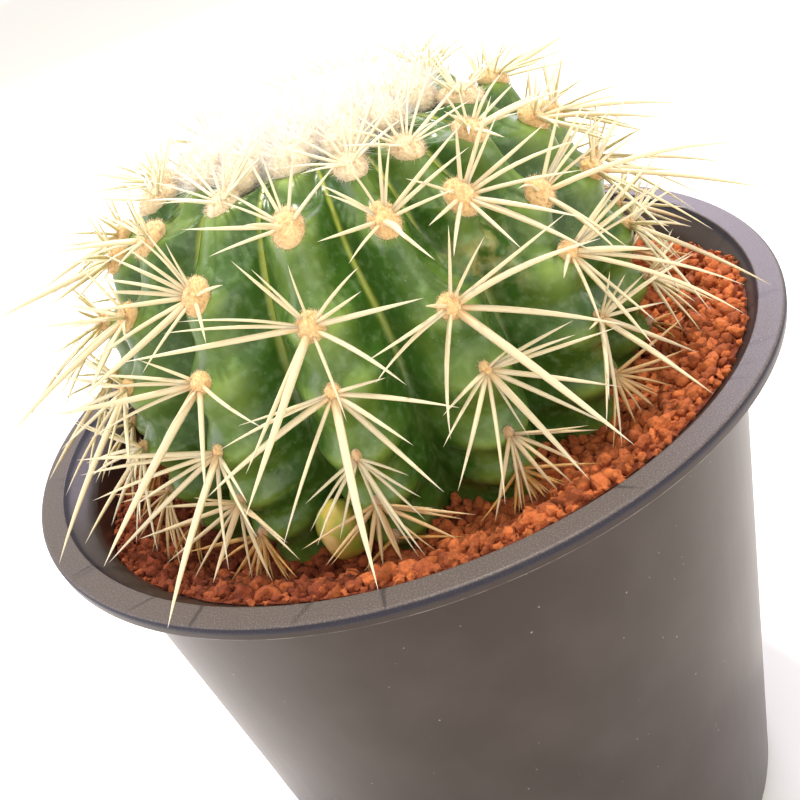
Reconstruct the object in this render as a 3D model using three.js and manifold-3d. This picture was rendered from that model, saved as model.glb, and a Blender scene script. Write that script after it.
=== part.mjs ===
// A round ribbed cactus in a round plastic pot: pot, soil, cactus and its woolly crown.
// Millimetres, +Z up. The origin is the centre of the pot's flat base, and -Y is the front.
import * as THREE from 'three';
import { mergeVertices } from 'three/addons/utils/BufferGeometryUtils.js';
import Module from 'manifold-3d';

const DEG = THREE.MathUtils.DEG2RAD;

// ---------------------------------------------------------------- driving dimensions

const GAP = 0.35; // between pieces that touch
const ROUND_SIDES = 48; // sides of the pot and of the soil

// Pot: one moulding with a flat rim ring that stands out from a tapered wall.
const POT_HEIGHT = 100;
const RIM_RADIUS = 60;
const RIM_INNER_RADIUS = 56.2;
const RIM_THICKNESS = 1.9;
const RIM_BEVEL = 0.6;
const NECK_DEPTH = 4; // from the rim's top to where the wall starts to run straight
const NECK_OUTSIDE = [[0.7, -2.5], [2.2, -1.9]]; // out from the wall's top, and down from the rim's
const NECK_INSIDE = [[-1.4, -0.8], [-2.9, -2.2]]; // in from the rim's inner edge, and down from it
const WALL_TOP_RADIUS = 53.8;
const WALL_THICKNESS = 1.3;
const WALL_TAPER = 5.5 * DEG;
const FLOOR_THICKNESS = 1.8;
const FLOOR_LIFT = 2.2; // the floor stands this high, but for its middle and its foot ring
const FLOOR_PAD_RADIUS = 11;
const FOOT_RING_WIDTH = 8;
const FOOT_SLOPE = 1.4; // how far the sides of the pad and ring slope out
const FLOOR_BEVEL = 1.5;
const DRAIN_COUNT = 6;
const DRAIN_RADIUS = 4.5;
const DRAIN_CIRCLE_RADIUS = 24;

// Soil: crumbly granules, level across the pot but higher on the +X side.
const SOIL_DEPTH = 9; // from the rim down to the soil's mean level
const SOIL_SLOPE = 0.068;
const GRANULE_HEIGHT = 1.1;
const SOIL_RINGS = [41.8, 43.8, 45.8, 48, 50.2]; // radii where its top is rough
const BOWL_EDGE_RADIUS = 39; // of the bowl that the stem's foot stands in

// Stem: the rib crests lie on an ellipsoid round the pot's axis, with a flattened crown.
const STEM_RADIUS = 42;
const STEM_HALF_HEIGHT = 39.5;
const STEM_CENTRE_ABOVE_RIM = 6;
const CROWN_FLATTENING = 7;
const CROWN_LATITUDE = 45; // where the flattening starts
const RIB_COUNT = 14;
const FIRST_RIB = 14; // degrees round from the front, +X side positive
const RIB_DEPTH = 0.235; // share of the radius
const INSERTED_VALLEYS = [0, 5, 9]; // valleys, counted from the first rib, that hold a younger rib
const INSERTED_START = 8; // latitude where a younger rib starts to rise, in degrees
const INSERTED_FULL = 36; // latitude where it is as high as its neighbours
const INSERTED_FIRST_STEP = 3.5; // its lowest areole, counted as below
const INSERTED_PUSH = 5; // degrees that it pushes the nearest ribs aside
const INSERTED_PUSH_REACH = 15; // degrees over which the push fades
const FLANK_SECTION = 0.62; // height of the neighbours' flanks where a younger rib is to rise
const CREST_WIDTH = 4.7; // a crest's flat
const CREST_SHARE = 0.44; // the most of a rib's pitch that the flat takes
const TUBERCLE_DIP = 1.5; // how far a crest sinks between areoles
const STEM_FOOT_LATITUDE = -35;
const FOOT_RIBS = [-40, -15]; // the ribs come out of the plain foot between these latitudes
const FOOT_RIB_SHARE = 0.3;
const CROWN_RIBS = [60, 85]; // and run out again between these
const CROWN_RIB_SHARE = 0.5;
const STEM_FOOT_CONE = 5; // how far the foot runs down to its point
const ROOT_RADIUS = 9;
const ROOT_SIDES = 12;
const ROOT_END_BELOW_RIM = 46;

// Areoles: felt pads along the crests. Step n runs up a rib, and each second rib is half a step out.
const FIRST_AREOLE_LATITUDE = -7;
const AREOLE_STEP = 11.2;
const AREOLE_STEP_GROWTH = 0.65;
const PAD_WIDTH = 4.4;
const PAD_HEIGHT = 5;
const PAD_THICKNESS = 1.3;
const PAD_TOP_SHARE = 0.62; // a pad's top, as a share of its foot
const PAD_DOME = 1.25; // its middle's height, as a share of its thickness
const PAD_TWIST = 10; // degrees
const PAD_ROW = 0.32; // steps from a pad's middle to the end of the crest's face that holds it
const OLD_AREOLES = [-20, 15]; // below these latitudes the pads and needles get small
const OLD_PAD_SHARE = 0.74;
const OLD_NEEDLE_SHARE = 0.72;
const YOUNG_AREOLES = [24, 60]; // above these the needles are short and stand up
const YOUNG_NEEDLE_SHARE = 0.42;
const YOUNG_LIFT = [10, 24]; // degrees, and for needles that point up the rib

// Needles: clock angle from the crown's direction, lift from the surface, length and base width.
const SIDE_NEEDLES = [
  [0, 38, 10, 1.0],
  [58, 30, 14, 1.1],
  [112, 24, 18, 1.3],
  [190, 20, 17, 1.2],
  [242, 24, 18, 1.3],
  [302, 30, 13, 1.1],
];
const TOP_NEEDLE = [168, 42, 23, 1.6];
const TOP_NEEDLE_FACE = 2;
const NEEDLE_REACH = 58; // no tip stands further from the axis
const NEEDLE_STAND = 1.38; // nor further from the stem's middle, as a share of the stem's size
const NEEDLE_SPREAD = { clock: 6, lift: 5, length: 0.08 }; // by chance, either way
const NEEDLE_SEARCH = { clock: 0.5, lift: 0.35, length: -0.008 }; // more with each new attempt
const NEEDLE_ROOM = [0.22, 0.75]; // between needles of one areole, and of two, at their roots
const NEEDLE_TIP_ROOM = 0.35;
const NEEDLE_FACE_SHARE = 0.8; // the most of a pad's face that a needle takes
const NEEDLE_ATTEMPTS = 60;
const SOIL_CLEARANCE = 1.6;
const RIM_CLEARANCE = 2;
const CAP_CLEARANCE = 1;
const STEM_CLEARANCE = 1.05; // share of the stem's size
const CHECKED_SHARES = [0.35, 0.55, 0.75, 1]; // places along a needle

// Crown: a cap of wool with the youngest areoles in it.
const CAP_RADIUS = 19.5;
const CAP_RINGS = [5, 9.5, 13.5, 17];
const CAP_THICKNESS = 2.8;
const CAP_EDGE_THICKNESS = 1.5;
const TUFT_HEIGHT = 0.6;
const CAP_SIDES = 28;
const CROWN_RINGS = [
  { count: 14, radius: 16.6, lean: 42, needles: 3 },
  { count: 8, radius: 10, lean: 24, needles: 3 },
  { count: 4, radius: 4, lean: 9, needles: 2 },
];
const YOUNG_NEEDLE_LENGTH = 6;
const YOUNG_NEEDLE_WIDTH = 1.0;
const YOUNG_NEEDLE_SUNK = 1;
const YOUNG_NEEDLE_SPREAD = { lean: 13, azimuth: 45, length: 0.2 };

// Basal lump: a small swelling at the foot of the front ribs.
const LUMP_AZIMUTH = -20;
const LUMP_LATITUDE = -14;
const LUMP_SUNK = 3;
const LUMP_SIZE = [4, 4.4, 3.6];

// ---------------------------------------------------------------- solids

const wasm = await Module();
wasm.setup();
const RIM_Z = POT_HEIGHT;
const ROOT_END_Z = RIM_Z - ROOT_END_BELOW_RIM;
const STEM_CENTRE_Z = RIM_Z + STEM_CENTRE_ABOVE_RIM;
const RIB_PITCH = 360 / RIB_COUNT;
const { smoothstep, lerp } = THREE.MathUtils;

// A closed geometry as a solid that can be joined and cut.
function solidOf(geometry) {
  const bare = geometry.clone();
  bare.deleteAttribute('normal');
  bare.deleteAttribute('uv');
  const merged = mergeVertices(bare, 1e-4);
  const corners = merged.index.array;
  const kept = [];
  for (let i = 0; i < corners.length; i += 3) {
    const [a, b, c] = corners.slice(i, i + 3);
    if (a !== b && b !== c && c !== a) kept.push(a, b, c);
  }
  return new wasm.Manifold(new wasm.Mesh({
    numProp: 3,
    vertProperties: new Float32Array(merged.getAttribute('position').array),
    triVerts: new Uint32Array(kept),
  }));
}

function geometryOf(solid) {
  const mesh = solid.getMesh();
  const geometry = new THREE.BufferGeometry();
  geometry.setAttribute('position', new THREE.BufferAttribute(mesh.vertProperties, 3));
  geometry.setIndex(new THREE.BufferAttribute(mesh.triVerts, 1));
  return geometry;
}

// Joins many small solids in pairs, which stays quick however many there are.
function joinAll(solids) {
  let round = solids;
  while (round.length > 1) {
    const next = [];
    for (let i = 0; i < round.length; i += 2) {
      next.push(i + 1 < round.length ? round[i].add(round[i + 1]) : round[i]);
    }
    round = next;
  }
  return round[0];
}

// A sphere's grid with each point put where pointAt(row, column) says. Row 0 is the top pole.
function closedGrid(columns, rows, pointAt) {
  const grid = new THREE.SphereGeometry(1, columns, rows);
  const position = grid.getAttribute('position');
  for (let row = 0; row <= rows; row += 1) {
    for (let column = 0; column <= columns; column += 1) {
      const [x, y, z] = pointAt(row, column % columns);
      position.setXYZ(row * (columns + 1) + column, x, y, z);
    }
  }
  return grid;
}

// A turned solid: [radius, height] pairs that start and end on the axis.
function turned(profile, sides) {
  const points = profile.map(([radius, height]) => new THREE.Vector2(radius, height));
  return new THREE.LatheGeometry(points, sides).rotateX(Math.PI / 2);
}

const mulberry = (seed) => () => {
  seed = (seed + 0x6d2b79f5) | 0;
  let t = Math.imul(seed ^ (seed >>> 15), 1 | seed);
  t = (t + Math.imul(t ^ (t >>> 7), 61 | t)) ^ t;
  return ((t ^ (t >>> 14)) >>> 0) / 4294967296;
};
const spread = (random, half) => (random() * 2 - 1) * half;

// Azimuth 0 faces -Y, and grows towards +X.
function around(azimuth, radius, z) {
  return [radius * Math.sin(azimuth * DEG), -radius * Math.cos(azimuth * DEG), z];
}

// ---------------------------------------------------------------- pot

const wallRadius = (z) => WALL_TOP_RADIUS - (RIM_Z - NECK_DEPTH - z) * Math.tan(WALL_TAPER);
const innerRadius = (z) => wallRadius(z) - WALL_THICKNESS;

function makePot() {
  const footRadius = wallRadius(0);
  const floorTop = FLOOR_LIFT + FLOOR_THICKNESS;
  const neckZ = RIM_Z - NECK_DEPTH;
  const lipZ = RIM_Z - RIM_THICKNESS;
  const outside = [
    [0, 0],
    [FLOOR_PAD_RADIUS, 0],
    [FLOOR_PAD_RADIUS + FOOT_SLOPE, FLOOR_LIFT],
    [footRadius - FOOT_RING_WIDTH - FOOT_SLOPE, FLOOR_LIFT],
    [footRadius - FOOT_RING_WIDTH, 0],
    [footRadius - RIM_BEVEL, 0],
    [wallRadius(RIM_BEVEL), RIM_BEVEL],
    [WALL_TOP_RADIUS, neckZ],
    ...NECK_OUTSIDE.map(([out, down]) => [WALL_TOP_RADIUS + out, RIM_Z + down]),
    [RIM_RADIUS - RIM_BEVEL, lipZ],
    [RIM_RADIUS, lipZ + RIM_BEVEL],
    [RIM_RADIUS, RIM_Z - RIM_BEVEL],
    [RIM_RADIUS - RIM_BEVEL, RIM_Z],
  ];
  const inside = [
    [RIM_INNER_RADIUS, RIM_Z],
    ...NECK_INSIDE.map(([out, down]) => [RIM_INNER_RADIUS + out, RIM_Z + down]),
    [innerRadius(neckZ), neckZ],
    [innerRadius(floorTop + FLOOR_BEVEL), floorTop + FLOOR_BEVEL],
    [innerRadius(floorTop) - FLOOR_BEVEL, floorTop],
    [0, floorTop],
  ];
  let pot = solidOf(turned([...outside, ...inside], ROUND_SIDES));
  for (let i = 0; i < DRAIN_COUNT; i += 1) {
    const drain = new THREE.CylinderGeometry(DRAIN_RADIUS, DRAIN_RADIUS, 3 * floorTop, 12);
    drain.rotateX(Math.PI / 2);
    drain.translate(...around((i + 0.5) * (360 / DRAIN_COUNT), DRAIN_CIRCLE_RADIUS, FLOOR_LIFT));
    pot = pot.subtract(solidOf(drain));
  }
  return geometryOf(pot);
}

// ---------------------------------------------------------------- stem surface

const areoleLatitude = (n) => FIRST_AREOLE_LATITUDE + AREOLE_STEP * n + AREOLE_STEP_GROWTH * n * n;

// How far a younger rib has grown at a latitude, from 0 to 1.
const youngRib = (latitude) => smoothstep(latitude, INSERTED_START, INSERTED_FULL);

// Every rib with the step of its lowest areole. Neighbouring ribs are half a step apart.
const ribs = [];
for (let rib = 0; rib < RIB_COUNT; rib += 1) {
  ribs.push({ azimuth: FIRST_RIB + rib * RIB_PITCH, firstStep: rib % 2 === 1 ? -1 : -0.5 });
  if (INSERTED_VALLEYS.includes(rib)) {
    ribs.push({ azimuth: FIRST_RIB + (rib + 0.5) * RIB_PITCH, firstStep: INSERTED_FIRST_STEP, young: true });
  }
}

// A younger rib pushes its neighbours aside, less and less further off.
function pushed(azimuth, latitude) {
  let shift = 0;
  for (const rib of ribs.filter((each) => each.young)) {
    const off = THREE.MathUtils.euclideanModulo(azimuth - rib.azimuth + 180, 360) - 180;
    const near = Math.min(1, Math.abs(off) / (RIB_PITCH / 2));
    const far = Math.max(0, Math.abs(off) - RIB_PITCH / 2);
    shift += Math.sign(off) * near * INSERTED_PUSH * Math.exp(-far / INSERTED_PUSH_REACH);
  }
  return azimuth + shift * youngRib(latitude);
}

// How far the crown is pressed down where the latitude has this sine.
function flattening(sine) {
  const start = Math.sin(CROWN_LATITUDE * DEG);
  return CROWN_FLATTENING * Math.max(0, (sine - start) / (1 - start)) ** 1.5;
}

// The crest envelope at a latitude, as [radius, height].
function envelope(latitude) {
  const sine = Math.sin(latitude * DEG);
  return [STEM_RADIUS * Math.cos(latitude * DEG), STEM_CENTRE_Z + STEM_HALF_HEIGHT * sine - flattening(sine)];
}

// A point's distance from the stem's middle, as a share of the envelope's.
function stemShare(radius, z) {
  const flat = z > STEM_CENTRE_Z ? flattening(Math.sqrt(Math.max(0, 1 - (radius / STEM_RADIUS) ** 2))) : 0;
  return Math.hypot(radius / STEM_RADIUS, (z + flat - STEM_CENTRE_Z) / STEM_HALF_HEIGHT);
}

// Position on a crest, outward normal, and the directions up the rib and across it.
function stemFrame(azimuth, latitude) {
  const at = new THREE.Vector3(...around(pushed(azimuth, latitude), ...envelope(latitude)));
  const above = new THREE.Vector3(...around(pushed(azimuth, latitude + 0.5), ...envelope(latitude + 0.5)));
  const up = above.sub(at).normalize();
  const across = new THREE.Vector3(...around(pushed(azimuth, latitude) + 90, 1, 0));
  const out = across.clone().cross(up).normalize();
  return { at, up, out, across };
}

// ---------------------------------------------------------------- soil

function soilLevel(x, y) {
  const rough = Math.sin(x * 1.9 + 2 * Math.sin(y * 0.9)) + Math.sin(y * 2.3 + 2 * Math.sin(x * 1.1));
  return RIM_Z - SOIL_DEPTH + SOIL_SLOPE * x + GRANULE_HEIGHT * 0.5 * rough;
}

// The bowl that the stem's foot stands in follows the stem's envelope, a little way off.
function bowlRadius(z) {
  const share = (z - STEM_CENTRE_Z) / (STEM_HALF_HEIGHT + 2 * GAP);
  return (STEM_RADIUS + 2 * GAP) * Math.sqrt(1 - share * share);
}

function makeSoil() {
  const azimuthOf = (column) => column * (360 / ROUND_SIDES);
  const bottomZ = FLOOR_LIFT + FLOOR_THICKNESS + GAP;
  const bevel = 2;
  const [footRadius, footZ] = envelope(STEM_FOOT_LATITUDE);
  const rootRadius = ROOT_RADIUS + GAP;
  const rootEnd = ROOT_END_Z - 2 * GAP;
  const onTop = (azimuth, radius) => {
    const [x, y] = around(azimuth, radius, 0);
    return [x, y, soilLevel(x, y)];
  };
  const bowlEdge = (azimuth) => {
    const level = onTop(azimuth, BOWL_EDGE_RADIUS)[2];
    return around(azimuth, bowlRadius(level) + GAP, level - GAP);
  };
  const wallEdge = (azimuth) => {
    const level = onTop(azimuth, innerRadius(RIM_Z - SOIL_DEPTH))[2] - GAP;
    return around(azimuth, innerRadius(level) - 2 * GAP, level);
  };
  const rows = [
    () => [0, 0, rootEnd],
    (azimuth) => around(azimuth, rootRadius, rootEnd),
    (azimuth) => around(azimuth, rootRadius, footZ - STEM_FOOT_CONE - 4 * GAP),
    (azimuth) => around(azimuth, footRadius, footZ - 2 * GAP),
    (azimuth) => around(azimuth, bowlRadius(footZ + bevel), footZ + bevel),
    bowlEdge,
    ...SOIL_RINGS.map((radius) => (azimuth) => onTop(azimuth, radius)),
    wallEdge,
    (azimuth) => around(azimuth, innerRadius(bottomZ + bevel) - 2 * GAP, bottomZ + bevel),
    (azimuth) => around(azimuth, innerRadius(bottomZ) - bevel, bottomZ),
    () => [0, 0, bottomZ],
  ];
  return closedGrid(ROUND_SIDES, rows.length - 1, (row, column) => rows[row](azimuthOf(column)));
}

// ---------------------------------------------------------------- areoles

// The centre lines of the needles made so far. Needles pass each other and never touch.
const placed = [];

function isFree(line, areole) {
  const near = new THREE.Vector3();
  const otherNear = new THREE.Vector3();
  return placed.every((other) => {
    const distance = Math.sqrt(line.distanceSqToLine3(other.line, near, otherNear));
    const left = 1 - near.distanceTo(line.start) / line.distance();
    const otherLeft = 1 - otherNear.distanceTo(other.line.start) / other.line.distance();
    const room = NEEDLE_ROOM[other.areole === areole ? 0 : 1];
    return distance > NEEDLE_TIP_ROOM + room * (left + otherLeft);
  });
}

// True where a needle is clear of the stem, the soil, the pot and the wool, and not too far out.
function isClear(line) {
  const { x, y, z } = line.end;
  const radius = Math.hypot(x, y);
  if (radius > NEEDLE_REACH || stemShare(radius, z) > NEEDLE_STAND) return false;
  if (z < soilLevel(x, y) + SOIL_CLEARANCE) return false;
  if (z < RIM_Z + RIM_CLEARANCE && radius > innerRadius(RIM_Z - NECK_DEPTH) - RIM_CLEARANCE) return false;
  return CHECKED_SHARES.every((share) => {
    const point = line.at(share, new THREE.Vector3());
    const reach = Math.hypot(point.x, point.y);
    const wool = capUnderside(Math.min(reach, CAP_RADIUS)) + CAP_THICKNESS + CAP_CLEARANCE;
    if (reach < CAP_RADIUS + CAP_CLEARANCE && point.z < wool) return false;
    return stemShare(reach, point.z) > STEM_CLEARANCE;
  });
}

// The tip of a needle near the wanted way: it is turned, lifted and shortened until it is free.
function freeTip(start, areole, way, random) {
  const { frame, clock, lift, length } = way;
  for (let attempt = 0; attempt < NEEDLE_ATTEMPTS; attempt += 1) {
    const heading = clock + spread(random, NEEDLE_SPREAD.clock + NEEDLE_SEARCH.clock * attempt);
    const raised = lift + spread(random, NEEDLE_SPREAD.lift) + NEEDLE_SEARCH.lift * attempt;
    const flat = frame.up.clone().multiplyScalar(Math.cos(heading * DEG));
    flat.addScaledVector(frame.across, Math.sin(heading * DEG));
    const direction = flat.multiplyScalar(Math.cos(raised * DEG));
    direction.addScaledVector(frame.out, Math.sin(raised * DEG)).normalize();
    const reach = length * (1 + spread(random, NEEDLE_SPREAD.length) + NEEDLE_SEARCH.length * attempt);
    const line = new THREE.Line3(start, start.clone().addScaledVector(direction, reach));
    if (isClear(line) && isFree(line, areole)) {
      placed.push({ line, areole });
      return line.end;
    }
  }
  return null;
}

// Splits a face into a border and a three-sided needle that stands on its middle.
function needleOn([a, b, c], width, tipFrom) {
  const middle = a.clone().add(b).add(c).divideScalar(3);
  const tip = tipFrom(middle);
  if (!tip) return [[a, b, c]];
  const size = (a.distanceTo(b) + b.distanceTo(c) + c.distanceTo(a)) / 3;
  const inset = (corner) => middle.clone().lerp(corner, Math.min(NEEDLE_FACE_SHARE, width / size));
  const [d, e, f] = [inset(a), inset(b), inset(c)];
  const border = [[a, b, e], [a, e, d], [b, c, f], [b, f, e], [c, a, d], [c, d, f]];
  return [...border, [d, e, tip], [e, f, tip], [f, d, tip]];
}

// Fills the strip between two loops that run the same way round, by the angle of their corners.
function stitch(outer, inner, angleOf) {
  const inOrder = (loop) => loop.map((corner) => ({ corner, angle: angleOf(corner) }))
    .sort((p, q) => p.angle - q.angle);
  const [far, near] = [inOrder(outer), inOrder(inner)];
  const at = (loop, index) => loop[index % loop.length].corner;
  const turns = (loop, index) => 2 * Math.PI * Math.floor(index / loop.length);
  const angle = (loop, index) => loop[index % loop.length].angle + turns(loop, index);
  const faces = [];
  let i = 0;
  let j = 0;
  while (i < far.length || j < near.length) {
    if (j === near.length || (i < far.length && angle(far, i + 1) < angle(near, j + 1))) {
      faces.push([at(far, i), at(far, i + 1), at(near, j)]);
      i += 1;
    } else {
      faces.push([at(far, i), at(near, j + 1), at(near, j)]);
      j += 1;
    }
  }
  return faces;
}

// A six-sided felt pad inside a four-cornered face of a crest, with its needles.
function areoleFaces(corners, rib, step, random) {
  const latitude = areoleLatitude(step);
  const frame = stemFrame(rib.azimuth, latitude);
  const grown = smoothstep(latitude, ...OLD_AREOLES);
  const young = smoothstep(latitude, ...YOUNG_AREOLES);
  const size = lerp(OLD_PAD_SHARE, 1, grown);
  const lengthShare = lerp(OLD_NEEDLE_SHARE, 1, grown) * lerp(1, YOUNG_NEEDLE_SHARE, young);
  const twist = spread(random, PAD_TWIST);
  const place = (clock, share, height) => frame.at.clone()
    .addScaledVector(frame.across, PAD_WIDTH / 2 * size * share * Math.sin(clock * DEG))
    .addScaledVector(frame.up, PAD_HEIGHT / 2 * size * share * Math.cos(clock * DEG))
    .addScaledVector(frame.out, height);
  const ring = (share, height) => [0, 1, 2, 3, 4, 5].map((i) => place(60 * i + 30 + twist, share, height));
  const low = ring(1, 0);
  const high = ring(PAD_TOP_SHARE, PAD_THICKNESS * size);
  const crown = place(0, 0, PAD_THICKNESS * size * PAD_DOME);
  const angleOf = (corner) => {
    const arm = corner.clone().sub(frame.at);
    return Math.atan2(arm.dot(frame.up), arm.dot(frame.across));
  };
  const areole = `${rib.azimuth} ${step}`;
  const grow = ([clock, lift, length, width], face) => {
    const youngLift = YOUNG_LIFT[0] + YOUNG_LIFT[1] * Math.max(0, Math.cos(clock * DEG));
    const way = { frame, clock: clock + twist, lift: lift + young * youngLift, length: length * lengthShare };
    return needleOn(face, width, (start) => freeTip(start, areole, way, random));
  };
  const faces = stitch(corners, low, angleOf);
  for (let i = 0; i < 6; i += 1) {
    const next = (i + 1) % 6;
    faces.push([low[next], low[i], high[i]]);
    faces.push(...grow(SIDE_NEEDLES[next], [low[next], high[i], high[next]]));
    const top = [crown, high[next], high[i]];
    faces.push(...(i === TOP_NEEDLE_FACE ? grow(TOP_NEEDLE, top) : [top]));
  }
  return faces;
}

// ---------------------------------------------------------------- cactus

const isWhole = (rib) => Number.isInteger(rib.firstStep);

// The stem's grid has a column at each side of a crest's pads, and one in each valley.
function stemColumns() {
  const columns = [];
  for (const [index, rib] of ribs.entries()) {
    const reach = isWhole(rib) ? PAD_ROW : 0.5 - PAD_ROW;
    const nextAzimuth = (ribs[index + 1]?.azimuth ?? ribs[0].azimuth + 360);
    columns.push({ rib, side: -1, reach }, { rib, side: 1, reach });
    columns.push({ azimuth: (rib.azimuth + nextAzimuth) / 2, reach: 0.25 });
  }
  return columns;
}

// Rows of the grid from the crown down, as a step and the way to go from it, or as a latitude.
function stemRows() {
  const rows = [{ latitude: 78 }, { latitude: 69 }, { whole: 5, way: -1 }];
  for (let whole = 4; whole >= -1; whole -= 1) rows.push({ whole, way: 1 }, { whole, way: -1 });
  rows.push({ latitude: STEM_FOOT_LATITUDE });
  return rows;
}

// Height of the section in a valley: beside a younger rib it is the neighbour's flank lower down.
function valleySection(azimuth, latitude) {
  const besideYoung = ribs.some((rib) => rib.young && Math.abs(rib.azimuth - azimuth) < 0.3 * RIB_PITCH);
  return besideYoung ? FLANK_SECTION * (1 - youngRib(latitude)) : 0;
}

function stemPoint(row, column) {
  const latitude = row.latitude ?? areoleLatitude(row.whole + row.way * column.reach);
  const [radius, z] = envelope(latitude);
  const foot = lerp(FOOT_RIB_SHARE, 1, smoothstep(latitude, ...FOOT_RIBS));
  const crown = lerp(1, CROWN_RIB_SHARE, smoothstep(latitude, ...CROWN_RIBS));
  const depth = radius * RIB_DEPTH * foot * crown;
  if (!column.rib) {
    const section = valleySection(column.azimuth, latitude);
    return new THREE.Vector3(...around(pushed(column.azimuth, latitude), radius - depth * (1 - section), z));
  }
  const section = column.rib.young ? youngRib(latitude) : 1;
  const half = Math.min(CREST_SHARE * RIB_PITCH / 2, Math.asin(CREST_WIDTH / 2 / radius) / DEG);
  const azimuth = pushed(column.rib.azimuth, latitude) + column.side * half;
  return new THREE.Vector3(...around(azimuth, radius - depth * (1 - section), z));
}

// The step of the areole that a face between two rows of a crest holds, or null.
function areoleStep(rib, upper, lower) {
  if (upper.whole === undefined || lower.whole === undefined) return null;
  const isSameStep = upper.whole === lower.whole;
  if (isSameStep !== isWhole(rib)) return null;
  const step = (upper.whole + lower.whole) / 2;
  const { at } = stemFrame(rib.azimuth, areoleLatitude(step));
  return step >= rib.firstStep && at.z > soilLevel(at.x, at.y) + PAD_HEIGHT / 2 ? step : null;
}

// A crest's face between two areoles, sunk in its middle.
function notchFaces(corners, section) {
  const middle = new THREE.Vector3();
  for (const corner of corners) middle.add(corner);
  middle.divideScalar(corners.length);
  const outward = new THREE.Vector3(middle.x, middle.y, middle.z - STEM_CENTRE_Z).normalize();
  middle.addScaledVector(outward, -TUBERCLE_DIP * section);
  return corners.map((corner, i) => [corner, corners[(i + 1) % corners.length], middle]);
}

function makeStem() {
  const random = mulberry(7);
  const columns = stemColumns();
  const rows = stemRows();
  const top = new THREE.Vector3(0, 0, envelope(90)[1] - 1);
  const under = new THREE.Vector3(0, 0, envelope(STEM_FOOT_LATITUDE)[1] - STEM_FOOT_CONE);
  const points = rows.map((row) => columns.map((column) => stemPoint(row, column)));
  const faces = [];
  for (const [j, column] of columns.entries()) {
    const k = (j + 1) % columns.length;
    faces.push([top, points[0][j], points[0][k]], [points.at(-1)[j], under, points.at(-1)[k]]);
    for (let i = 0; i + 1 < rows.length; i += 1) {
      const corners = [points[i][j], points[i + 1][j], points[i + 1][k], points[i][k]];
      const isCrest = column.side === -1;
      const step = isCrest ? areoleStep(column.rib, rows[i], rows[i + 1]) : null;
      if (step !== null) faces.push(...areoleFaces(corners, column.rib, step, random));
      else if (isCrest && !column.rib.young) faces.push(...notchFaces(corners, 1));
      else faces.push([corners[0], corners[1], corners[2]], [corners[0], corners[2], corners[3]]);
    }
  }
  return new THREE.BufferGeometry().setFromPoints(faces.flat());
}

function makeRoot() {
  const topZ = envelope(STEM_FOOT_LATITUDE)[1];
  return turned([
    [0, ROOT_END_Z],
    [0.35 * ROOT_RADIUS, ROOT_END_Z],
    [0.75 * ROOT_RADIUS, ROOT_END_Z + ROOT_RADIUS],
    [ROOT_RADIUS, topZ - STEM_FOOT_CONE],
    [ROOT_RADIUS, topZ],
    [0, topZ],
  ], ROOT_SIDES);
}

function makeLump() {
  const lump = new THREE.SphereGeometry(1, 8, 6);
  lump.scale(...LUMP_SIZE);
  const [radius, z] = envelope(LUMP_LATITUDE);
  lump.translate(...around(LUMP_AZIMUTH, radius - LUMP_SUNK, z));
  return lump;
}

function makeCactus() {
  const stem = solidOf(makeStem());
  return geometryOf(stem.add(solidOf(makeRoot())).add(solidOf(makeLump())));
}

// ---------------------------------------------------------------- crown

const crownLatitude = (radius) => Math.acos(radius / STEM_RADIUS) / DEG;
const capUnderside = (radius) => envelope(crownLatitude(radius))[1] + 2 * GAP;

function capTop(azimuth, radius) {
  const tuft = TUFT_HEIGHT * Math.sin(5 * azimuth * DEG + radius) * Math.sin(radius * 0.9 + 1);
  const edge = smoothstep(radius, 0.6 * CAP_RADIUS, CAP_RADIUS);
  return capUnderside(radius) + lerp(CAP_THICKNESS, CAP_EDGE_THICKNESS, edge) + tuft;
}

// A three-sided needle with its foot sunk in the wool.
function youngNeedle(place, direction, length) {
  const whole = length + YOUNG_NEEDLE_SUNK;
  const needle = new THREE.ConeGeometry(YOUNG_NEEDLE_WIDTH / 2, whole, 3);
  needle.translate(0, whole / 2 - YOUNG_NEEDLE_SUNK, 0);
  const turn = new THREE.Quaternion();
  needle.applyQuaternion(turn.setFromUnitVectors(new THREE.Vector3(0, 1, 0), direction.normalize()));
  return solidOf(needle.translate(...place.toArray()));
}

function makeCap() {
  const azimuthOf = (column) => column * (360 / CAP_SIDES);
  const edgeZ = capUnderside(CAP_RADIUS) + CAP_EDGE_THICKNESS / 2;
  const underRings = [...CAP_RINGS, CAP_RADIUS - CAP_EDGE_THICKNESS / 2].reverse();
  const rows = [
    () => [0, 0, capTop(0, 0)],
    ...CAP_RINGS.map((radius) => (azimuth) => around(azimuth, radius, capTop(azimuth, radius))),
    (azimuth) => around(azimuth, CAP_RADIUS, edgeZ),
    ...underRings.map((radius) => (azimuth) => around(azimuth, radius, capUnderside(radius))),
    () => [0, 0, capUnderside(0)],
  ];
  return closedGrid(CAP_SIDES, rows.length - 1, (row, column) => rows[row](azimuthOf(column)));
}

function makeCrownWool() {
  const random = mulberry(23);
  const needles = [];
  for (const { count, radius, lean, needles: perAreole } of CROWN_RINGS) {
    for (let i = 0; i < count * perAreole; i += 1) {
      const azimuth = FIRST_RIB + Math.floor(i / perAreole) * (360 / count);
      const place = new THREE.Vector3(...around(azimuth, radius, capTop(azimuth, radius)));
      const leaning = (lean + spread(random, YOUNG_NEEDLE_SPREAD.lean)) * DEG;
      const turn = azimuth + spread(random, YOUNG_NEEDLE_SPREAD.azimuth);
      const way = new THREE.Vector3(...around(turn, Math.sin(leaning), Math.cos(leaning)));
      const length = YOUNG_NEEDLE_LENGTH * (1 + spread(random, YOUNG_NEEDLE_SPREAD.length));
      needles.push(youngNeedle(place, way, length));
    }
  }
  return geometryOf(solidOf(makeCap()).add(joinAll(needles)));
}

// ---------------------------------------------------------------- the part

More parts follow.
